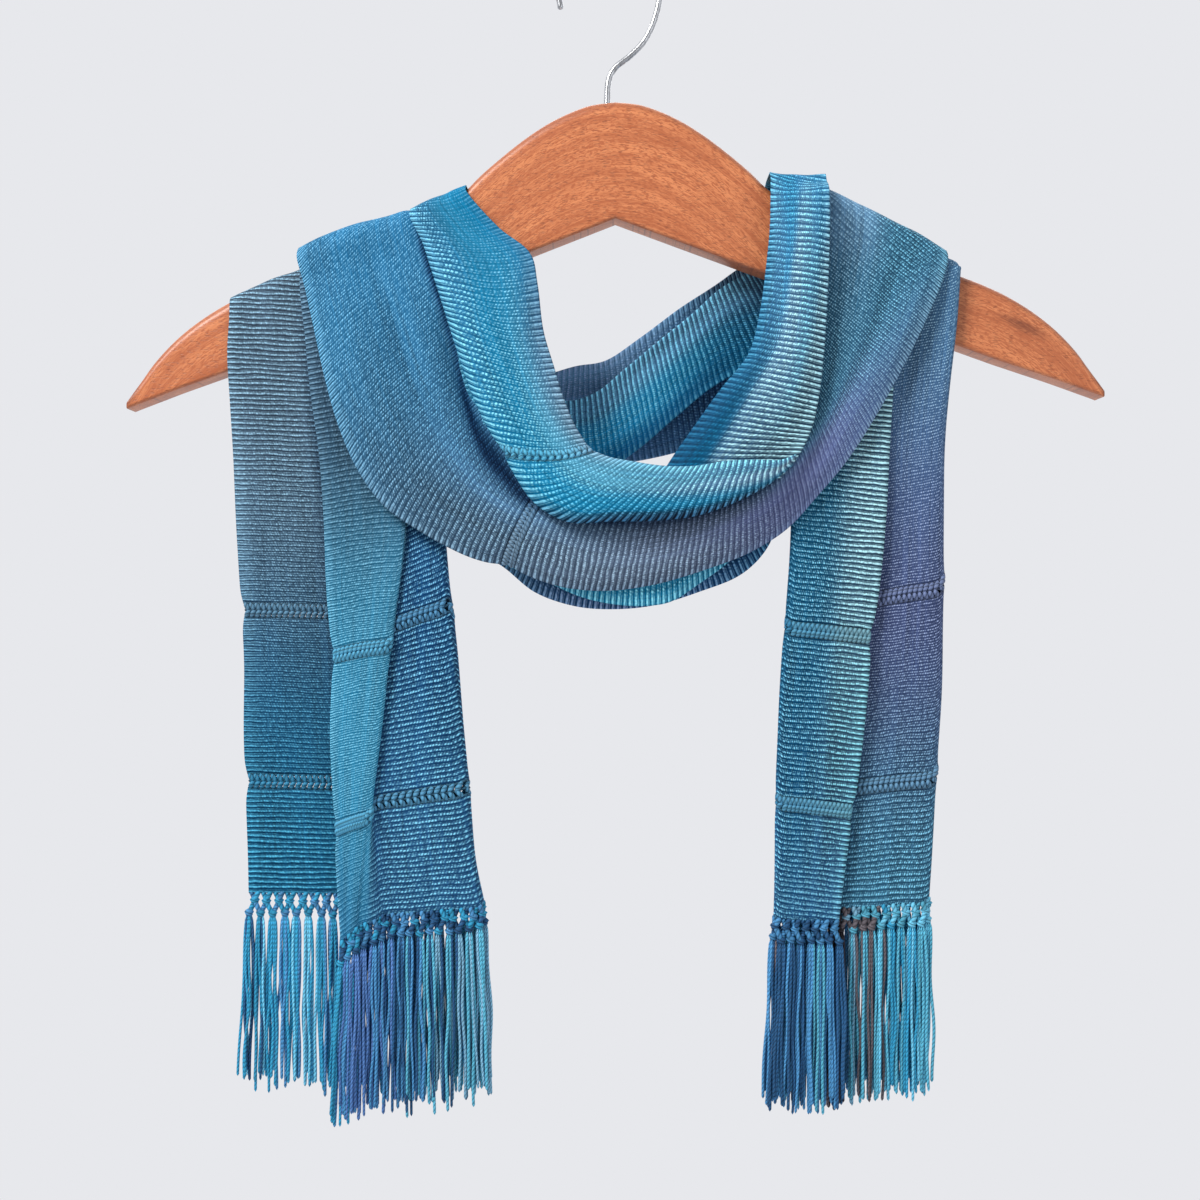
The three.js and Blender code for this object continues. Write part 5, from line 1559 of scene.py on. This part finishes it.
@dataclass
class Scarf:
    """The woven panel: its two legs, three loops in front, two folds under them and two loops behind."""

    def sheets(self) -> list[Sheet]:
        """Every stretch of the panel, from the nearest to the wood outwards.

        Returns:
            The sheets, the two legs first.
        """
        outer = np.concatenate([OUTER_LEFT.rows(10), loop_rows(LOOP_OUTER, 10), OUTER_RIGHT.rows(10)[::-1]])
        inner = np.concatenate([INNER_LEFT.rows(9), loop_rows(LOOP_INNER, 9)])
        strap = np.concatenate([STRAP_WRAP.rows(8), loop_rows(STRAP, 8)])
        near = np.concatenate([NEAR_JOINS[0].join(8), loop_rows(BACK_NEAR, 8), NEAR_JOINS[1].join(8)])
        far = np.concatenate([FAR_JOINS[0].join(8), loop_rows(BACK_FAR, 8), FAR_JOINS[1].join(8)])
        wood = ("hanger_wood",)
        return [
            Leg(
                "scarf_leg_left", "leg_left", leg_rows(LEFT_COLUMNS, LEFT_LEG, left_section), LEFT_BATHS,
                flat=(0.178, 0.347), held="folded", rests_on=wood, lead=7, per_row=11, per_column=6,
                row_reach=1.6, share_reach=0.1, open_levels=(51.0, 129.0), ripple=0.3,
                shrink=((0, 1), (0.3, 1), (0.42, 0.94), (0.47, 0.94), (0.63, 1), (1, 1)),
                # Painted shadows beside the edges of the layers in front.
                painted_shadows=(Crease((-1, 0.113), (11, 0.125), 3.0, -0.45), Crease((1, 0.635), (10.5, 0.64), 6.0, -0.4)),
                finish=WeaveFinish("weave_leg_left", 2.3),
            ),
            Leg(
                "scarf_leg_right", "leg_right", leg_rows(RIGHT_COLUMNS, RIGHT_LEG, right_section), RIGHT_BATHS,
                flat=(0.193, 0.349), held="folded", rests_on=wood, lead=7, per_row=11, per_column=6,
                row_reach=1.6, share_reach=0.05, open_levels=(51.5, 130.5), ripple=0.3,
                shrink=((0, 0.94), (0.3, 0.9), (0.55, 0.94), (0.75, 1.0), (1, 1.0)),
                tilt=((0, 0), (0.66, 0), (0.8, -1.7), (1, 1.7)),
                # Painted shadow beside the fold of the front layer.
                painted_shadows=(Crease((0, 0.53), (11, 0.54), 3.5, -0.5),), finish=WeaveFinish("weave_leg_right", 2.4),
            ),
            Sheet(
                "scarf_loop_outer", "loop_outer", outer, OUTER_BATHS, flat=(0.057, 0.537), held="draped",
                rests_on=("scarf_leg_left", "scarf_leg_right"), lead=7, share_reach=0.2,
                skew=((-7, 20), (0, 36), (4, 48), (6, 44), (8, 30), (10, 14), (12, 0), (15, -6), (17, -11), (19, -13),
                      (22, -24), (28, -14)),
                open_places=((7.9, 0.02),), row_height=4.8,
                # Painted shadows: a dark line and a pocket along the inner loop's edge, and softer ones along its
                # edges.
                painted_shadows=(
                    Crease((-3, 0.99), (4.4, 0.97), 1.8, -0.8), Crease((3.4, 0.99), (6.6, 0.8), 2.3, -0.85),
                    Crease((5.4, 0.9), (8.2, 0.77), 4.6, -0.85), Crease((7.2, 0.76), (10.4, 0.84), 2.6, -0.75),
                    Crease((9.8, 0.84), (15, 0.6), 3.2, -0.6), Crease((7, 0.0), (16, 0.0), 4.0, -0.25),
                    Crease((17, 0.98), (22, 0.98), 4.0, -0.4),
                ),
                creases=(
                    Crease((-0.5, 0.55), (5.5, 0.72), 6, -2.2), Crease((-2, 0.88), (3, 0.93), 5, 1.6),
                    Crease((0.5, 0.25), (5, 0.42), 6, 1.2), Crease((3, 0.97), (9.5, 0.97), 8, -4.5),
                    Crease((16.5, 0.45), (20.5, 0.35), 5, -1.8), Crease((9, 0.75), (17, 0.8), 7, -1.6),
                ),
                finish=WeaveFinish("weave_loop_outer", 2.75),
            ),
            Sheet(
                "scarf_loop_inner", "loop_inner", inner, INNER_BATHS, flat=(0.036, 0.296), held="draped",
                rests_on=("scarf_loop_outer",), lead=7, share_reach=0.16, open_places=((5.5, 0.0),),
                skew=((-7, -4), (0, -9), (3, -10), (5, -22), (6.5, -18), (8, -9), (11, 4), (15, 8)),
                sag=((-4, 0), (0, -4), (3, -5), (5, -3), (8, 0)), row_height=5.2,
                # Painted shadows along both edges, deepest near the lower end.
                painted_shadows=(Crease((7.5, 0.0), (12.5, 0.02), 4.5, -0.65), Crease((-1, 0.0), (7, 0.0), 2.5, -0.35),
                         Crease((-2, 0.97), (4, 0.97), 5.0, -0.2)),
                creases=(Crease((0.5, 0.5), (6, 0.72), 5, -2.0), Crease((0, 0.2), (7, 0.22), 5, 1.4),
                         Crease((8, 0.75), (13, 0.6), 6, -1.4)),
                finish=WeaveFinish("weave_loop_inner", 3.0),
            ),
            Sheet(
                "scarf_strap_right", "strap_right", strap, STRAP_BATHS, flat=(0.036, 0.214), held="draped",
                rests_on=("scarf_loop_outer",), lead=7, share_reach=0.11,
                skew=((-7, -4), (0, -7), (3, -8), (6, -6), (8, -4)),
                # Painted shadows along its edges.
                painted_shadows=(Crease((4.5, 0.0), (8, 0.05), 6.0, -0.35), Crease((-1, 1.0), (5, 1.0), 2.5, -0.3)),
                creases=(Crease((0, 0.22), (6, 0.3), 4, -1.6), Crease((0.5, 0.72), (6, 0.75), 5, 1.2)),
                finish=WeaveFinish("weave_strap", 2.65),
            ),
            Sheet(
                "scarf_underfold_near", "underfold_near", loop_rows(UNDERFOLD_NEAR, 5), UNDER_NEAR_BATHS,
                flat=(0.025, 0.343), held="draped", rests_on=("scarf_loop_outer",), row_reach=3,
                finish=WeaveFinish("weave_underfold_near"),
            ),
            Sheet(
                "scarf_underfold_far", "underfold_far", loop_rows(UNDERFOLD_FAR, 5), UNDER_FAR_BATHS,
                flat=(0.021, 0.355), held="draped", rests_on=("scarf_underfold_near",), row_reach=3,
                finish=WeaveFinish("weave_underfold_far"),
            ),
            Sheet(
                "scarf_back_loop_near", "back_loop_near", near, NEAR_BATHS, flat=(0.046, 0.277), held="draped",
                rests_on=wood, lead=1, per_row=10, share_reach=0.26,
                # Painted shadows: deep along its lower edge and soft across its far end.
                painted_shadows=(Crease((3.5, 0.05), (9, 0.1), 8.0, -0.55), Crease((7.5, 0.3), (12, 0.5), 12.0, -0.3)),
                finish=WeaveFinish("weave_back_near", 3.0),
            ),
            Sheet(
                "scarf_back_loop_far", "back_loop_far", far, FAR_BATHS, flat=(0.048, 0.31), held="draped",
                rests_on=wood, lead=1, per_row=10, finish=WeaveFinish("weave_back_far", 3.0),
            ),
        ]


# ---- fringes ------------------------------------------------------------------------------------------------
@dataclass(frozen=True)
class Tuft:
    """Colours of the strands at one share of a hem."""

    share: float
    yarns: tuple[Yarn, ...]


@dataclass
class Fringe:
    """Knotted net and loose strands on one run of a hem, from one share of its length to another.

    Tips hold the height of the strands' ends at shares of the hem, and spread how far they stand aside at its ends.
    """

    name: str
    node: str
    hem: Array
    start: float
    end: float
    tufts: Sequence[Tuft]
    tips: tuple[tuple[float, float], ...]
    seed: int
    spread: tuple[float, float] = (0.0, 0.0)
    pitch: float = 4.4
    net: tuple[float, float] = (3.8, 9.2)
    net_yarns: tuple[Yarn, ...] = ()
    net_cord: float = 1.15
    upper_knot: tuple[float, float, float] = (2.1, 1.7, 1.7)
    lower_knot: tuple[float, float, float] = (2.0, 1.7, 1.9)
    per_knot: int = 6
    strand: float = 0.66
    bundle: float = 1.3

    def place(self, share: Array) -> Array:
        """Points of the hem at shares of its length."""
        length = run_length(self.hem, 0)
        at = np.clip(share, 0, 1) * length[-1]
        return np.stack([np.interp(at, length, self.hem[:, k]) for k in range(3)], axis=-1)

    def colours(self, share: Array, rng: np.random.Generator, jitter: float) -> Array:
        """Colour of each strand: one of the yarns of the tuft nearest to its slightly shifted share.

        Args:
            share: Share of the hem at each strand.
            rng: Source of the small differences.
            jitter: Spread of the shift.

        Returns:
            Linear colours.
        """
        marks = np.array([t.share for t in self.tufts])
        nearest = np.argmin(np.abs((share + rng.normal(0, jitter, share.shape))[:, None] - marks), axis=1)
        pick = rng.random(share.shape)
        choices = [self.tufts[n].yarns for n in nearest]
        chosen = np.array([linear(yarns[int(p * len(yarns))].value) for yarns, p in zip(choices, pick)])
        return chosen * rng.uniform(0.86, 1.14, (len(share), 1))

    def build(self, yarn: bpy.types.Material) -> bpy.types.Object:
        """Makes the fringe.

        Crossing cords run from the hem to a first row of knots, and from there to a second row half a pitch aside.
        A bundle of strands falls from each knot of the second row, opens a little and sways by a small sine.

        Args:
            yarn: Its finish.

        Returns:
            The piece.
        """
        rng = np.random.default_rng(self.seed)
        length = run_length(self.hem, 0)[-1]
        count = max(3, int(round((self.end - self.start) * length / self.pitch)))
        share = self.start + (self.end - self.start) * (np.arange(count) + 0.5) / count
        half = (self.end - self.start) / count / 2
        low = np.concatenate([share[:1] - half, share + half])
        drop = [np.array([0.0, 0.0, -d]) for d in self.net]
        upper = self.place(share) + drop[0] + rng.normal(0, 0.25, (count, 3)) * [1, 0.3, 1]
        lower = self.place(low) + drop[1] + rng.normal(0, 0.3, (count + 1, 3)) * [1, 0.3, 1]
        t = np.linspace(0, 1, 9)[None, :, None]
        casts = []
        for side in (-1, 1):
            root = self.place(share + side * half * 0.72) + [0, 0, 0.8]
            bow = np.array([0.0, -0.7 * side, 0.0]) * np.sin(np.pi * t)
            casts.append(self.net_cords(root[:, None] * (1 - t) + upper[:, None] * t + bow, share, rng))
            mate = lower[1:] if side == 1 else lower[:-1]
            casts.append(self.net_cords(upper[:, None] * (1 - t) + mate[:, None] * t + bow, share, rng))
        casts.append(knots(upper, self.upper_knot, self.net_colours(share, rng)))
        casts.append(knots(lower, self.lower_knot, self.net_colours(low, rng)))
        casts.append(self.strands(lower, low, rng))
        made = join(casts).piece(self.name, yarn, self.node)
        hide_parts(self.node)
        LOG.info("%s: %d knots, %d strands", self.name, 2 * count + 1, (count + 1) * self.per_knot)
        return made

    def net_cords(self, paths: Array, share: Array, rng: np.random.Generator) -> Cast:
        """Cords of the net along the given paths."""
        dye = np.repeat(self.net_colours(share, rng)[:, None], paths.shape[1], axis=1)
        return cords(paths, np.full(paths.shape[:2], self.net_cord), dye)

    def net_colours(self, share: Array, rng: np.random.Generator) -> Array:
        """Colours in the net: its own yarns where it has some, else those of the strands, a little deeper.

        Args:
            share: Share of the hem at each cord or knot.
            rng: Source of the small differences.

        Returns:
            Linear colours.
        """
        if not self.net_yarns:
            return 0.85 * self.colours(share, rng, 0.01)
        pick = (rng.random(share.shape) * len(self.net_yarns)).astype(int)
        return np.array([linear(self.net_yarns[p].value) for p in pick]) * rng.uniform(0.7, 1.0, (len(share), 1))

    def strands(self, knot: Array, share: Array, rng: np.random.Generator) -> Cast:
        """Loose strands below the last row of knots.

        A strand runs from its root s = 0 to its tip s = 1. It stands off that line by its place in the fan times
        1 - exp(-s / 0.12) - s, and by a sine of its own that fades at both ends.

        Args:
            knot: Middle of each knot.
            share: Share of the hem at each knot.
            rng: Source of the small differences.

        Returns:
            The strands.
        """
        stations, count = 30, len(knot) * self.per_knot
        reach = 0.5 * (self.end - self.start) * run_length(self.hem, 0)[-1] / len(knot) - self.bundle
        number = np.tile(np.arange(self.per_knot), len(knot))
        fan = (number - (self.per_knot - 1) / 2) / (self.per_knot / 2)
        offset = np.stack([self.bundle * fan, 0.75 * (-1.0) ** number, 0 * fan - 0.9], axis=-1)
        root = np.repeat(knot, self.per_knot, axis=0) + offset
        strand_share = np.repeat(share, self.per_knot)
        tip_z = np.interp(strand_share, *np.array(self.tips).T) + rng.normal(0, 2.4, count)
        aside = np.interp(strand_share, (self.start, self.end), self.spread)
        tip_x = root[:, 0] + aside + fan * reach + rng.normal(0, 1.2, count)
        tip_y = root[:, 1] + rng.normal(0, 0.9, count)
        tip = np.stack([tip_x, tip_y, tip_z], axis=-1)
        s = np.append(np.linspace(0, 0.988, stations - 1), 1.0)[None]
        phase, beat = rng.uniform(0, 2 * np.pi, (count, 1)), rng.uniform(0.6, 1.6, (count, 1))
        swell = rng.uniform(0.2, 1.0, (count, 1))
        sway = swell * np.sin(2 * np.pi * beat * s + phase) * np.sin(np.pi * np.minimum(s * 0.9, 1))
        open_up = (1 - np.exp(-s / 0.12) - s) * fan[:, None] * reach
        t = s[..., None]
        path = root[:, None] * (1 - t) + tip[:, None] * t
        path = path + np.stack([sway + open_up, 0.5 * np.roll(sway, 7, axis=0), 0 * sway], axis=-1)
        dye = self.colours(strand_share, rng, 0.012)[:, None] * (1.05 - 0.1 * t)
        girth = self.strand * rng.uniform(0.85, 1.12, (count, 1)) * np.ones((1, stations))
        return cords(path, girth, dye)


@dataclass
class Fringes:
    """The two bunches of the fringe at each end of the panel, and the colours along each of them."""

    left_rear: tuple[Tuft, ...] = (
        Tuft(0.0, (Y.NIGHT, Y.TURQUOISE)), Tuft(0.04, (Y.LIGHT, Y.TURQUOISE)), Tuft(0.09, (Y.BLUE, Y.TURQUOISE)),
        Tuft(0.15, (Y.LIGHT, Y.TURQUOISE)), Tuft(0.22, (Y.TURQUOISE, Y.BLUE, Y.LIGHT)),
        Tuft(0.3, (Y.TURQUOISE, Y.BLUE)), Tuft(0.42, (Y.BLUE, Y.SLATE)), Tuft(0.5, (Y.SLATE, Y.TEAL)),
        Tuft(0.57, (Y.TEAL, Y.SLATE)),
    )
    left_fore: tuple[Tuft, ...] = (
        Tuft(0.6, (Y.TEAL, Y.SLATE)), Tuft(0.66, (Y.SLATE, Y.TEAL)), Tuft(0.72, (Y.TEAL, Y.SLATE, Y.NIGHT)),
        Tuft(0.78, (Y.BLUE, Y.TEAL, Y.NIGHT)), Tuft(0.84, (Y.BLUE, Y.NIGHT)), Tuft(0.9, (Y.PURPLE, Y.PURPLE, Y.BLUE)),
        Tuft(0.95, (Y.PURPLE,)), Tuft(1.0, (Y.TURQUOISE, Y.BLUE)),
    )
    right_rear: tuple[Tuft, ...] = (
        Tuft(0.1, (Y.BLUE, Y.SLATE)), Tuft(0.3, (Y.TURQUOISE, Y.TEAL)), Tuft(0.42, (Y.TEAL, Y.LIGHT)),
        Tuft(0.5, (Y.TURQUOISE, Y.LIGHT, Y.TEAL)), Tuft(0.56, (Y.TEAL, Y.TEAL, Y.BROWN)),
        Tuft(0.61, (Y.BROWN, Y.TEAL, Y.SLATE)), Tuft(0.65, (Y.BROWN, Y.BLACK)), Tuft(0.72, (Y.BLUE, Y.TEAL)),
    )
    right_fore: tuple[Tuft, ...] = (
        Tuft(0.8, (Y.BROWN, Y.BROWN, Y.BLUE)), Tuft(0.83, (Y.BLUE, Y.NIGHT)), Tuft(0.88, (Y.BLUE, Y.BLUE, Y.NIGHT)),
        Tuft(0.94, (Y.BLUE, Y.TEAL)), Tuft(1.0, (Y.BLUE, Y.NIGHT)),
    )

    def bunches(self, left_hem: Array, right_hem: Array) -> list[Fringe]:
        """The four bunches on the hems of the left and of the right leg.

        Args:
            left_hem: Points of the left leg's hem.
            right_hem: Points of the right leg's hem.

        Returns:
            The bunches, from the left to the right.
        """
        return [
            Fringe(
                "fringe_left_rear", "fringe_left_back", left_hem, 0.0, 0.575, self.left_rear,
                ((0.0, -520.5), (0.2, -524), (0.4, -526), (0.58, -522)), 11, (-1.0, 2.0), 5.4, per_knot=8,
                net_yarns=(Y.TURQUOISE, Y.BLUE, Y.TURQUOISE),
            ),
            Fringe(
                "fringe_left_fore", "fringe_left_front", left_hem, 0.58, 1.0, self.left_fore,
                ((0.58, -522), (0.7, -529), (0.9, -532), (1.0, -538)), 12, (3.0, -2.5),
                net_yarns=(Y.TURQUOISE, Y.BLUE, Y.NIGHT),
            ),
            Fringe(
                "fringe_right_rear", "fringe_right_back", right_hem, 0.0, 0.79, self.right_rear,
                ((0.0, -525), (0.4, -523), (0.6, -530), (0.8, -529)), 13,
            ),
            Fringe(
                "fringe_right_fore", "fringe_right_front", right_hem, 0.795, 1.0, self.right_fore,
                ((0.79, -528), (0.9, -531), (1.0, -531)), 14, (-4.0, 0.0), 4.2, net_yarns=(Y.BLUE, Y.NIGHT),
            ),
        ]


# ---- the studio ---------------------------------------------------------------------------------------------
@dataclass
class Studio:
    """Camera, soft lights, pale surroundings and a pale floor. The lights and what they look at are in metres."""

    camera_at: tuple[float, float, float] = (-4.1, -770.0, -303.1)
    lens: float = 50.0
    sensor: float = 36.0
    floor_z: float = -1400.0
    air: tuple[int, int, int] = (231, 232, 236)
    room: float = 0.48
    aim: tuple[float, float, float] = (0.0, 0.0, -0.28)

    def light(self, name: str, at: tuple, size: float, power: float, colour: tuple[float, float, float]) -> None:
        """Adds a square area light that looks at the middle of the part.

        Args:
            name: Its name.
            at: Its place.
            size: Its side.
            power: Its watts.
            colour: Its tint.
        """
        lamp = bpy.data.lights.new(name, "AREA")
        lamp.shape, lamp.size, lamp.energy, lamp.color = "SQUARE", size, power, colour
        made = bpy.data.objects.new(name, lamp)
        made.location = Vector(at)
        made.rotation_euler = (Vector(self.aim) - Vector(at)).to_track_quat("-Z", "Y").to_euler()
        bpy.context.scene.collection.objects.link(made)

    def floor(self) -> bpy.types.Object:
        """Round pale floor far below the part.

        Returns:
            The floor.
        """
        made, graph, shader = new_material("pale_floor")
        place = graph.node("ShaderNodeTexCoord").outputs["Object"]
        grain = graph.node("ShaderNodeTexNoise", {"Vector": place, "Scale": 3.0}).outputs["Fac"]
        colour = graph.mix(grain, rgba((222, 224, 228)), rgba((232, 233, 236)))
        graph.feed(shader, {"Base Color": colour, "Roughness": 0.9})
        ring = 2 * np.pi * np.arange(64) / 64
        radius = np.array([1.0, 900.0, 1800.0])[:, None]
        points = np.stack(np.broadcast_arrays(radius * np.cos(ring), radius * np.sin(ring), self.floor_z), axis=-1)
        mesh = bpy.data.meshes.new("floor")
        mesh.from_pydata((points.reshape(-1, 3) * MM).tolist(), [], quads(3, 64, closed=True).tolist())
        mesh.materials.append(made)
        floor = bpy.data.objects.new("floor", mesh)
        bpy.context.scene.collection.objects.link(floor)
        return floor

    def build(self) -> None:
        """Sets up the studio."""
        scene = bpy.context.scene
        scene.view_settings.view_transform = "Standard"
        lens = bpy.data.cameras.new("camera")
        lens.lens, lens.sensor_width, lens.sensor_fit = self.lens, self.sensor, "HORIZONTAL"
        lens.clip_start, lens.clip_end = 0.01, 20.0
        camera = bpy.data.objects.new("camera", lens)
        camera.location = Vector(self.camera_at) * MM
        camera.rotation_euler = (np.pi / 2, 0.0, 0.0)
        scene.collection.objects.link(camera)
        scene.camera = camera
        world = bpy.data.worlds.new("air")
        world.use_nodes = True
        graph = Graph(world.node_tree)
        way = graph.split(graph.node("ShaderNodeTexCoord").outputs["Generated"])
        lit, dim = ((*linear(self.air) * share, 1.0) for share in (1.0, self.room))
        air = graph.mix(graph.span(way[1], -0.35, 0.25), dim, lit)
        graph.feed(world.node_tree.nodes["Background"], {"Color": air, "Strength": 1.0})
        scene.world = world
        self.light("key", (-1.1, -1.0, 0.95), 0.7, 41.0, (1.0, 0.99, 0.97))
        self.light("fill", (1.3, -1.2, 0.0), 1.4, 6.0, (0.97, 0.98, 1.0))
        self.light("back", (0.3, 1.4, 0.6), 1.2, 7.0, (1.0, 1.0, 1.0))
        self.floor()


def main() -> None:
    """Builds the hanger, the scarf, its fringes and the studio."""
    logging.basicConfig(level=logging.INFO, format="%(message)s")
    for made in HANGER.build():
        LOG.info("%s built", made.name)
    yarn = YarnFinish("twisted_yarn").build()
    sheets = Scarf().sheets()
    for sheet in sheets:
        sheet.build(sheet.finish.build(), yarn)
    left_hem, right_hem = (leg.grid[-1] for leg in sheets[:2])
    for fringe in Fringes().bunches(left_hem, right_hem):
        fringe.build(yarn)
    Studio().build()


if __name__ == "__main__":
    main()
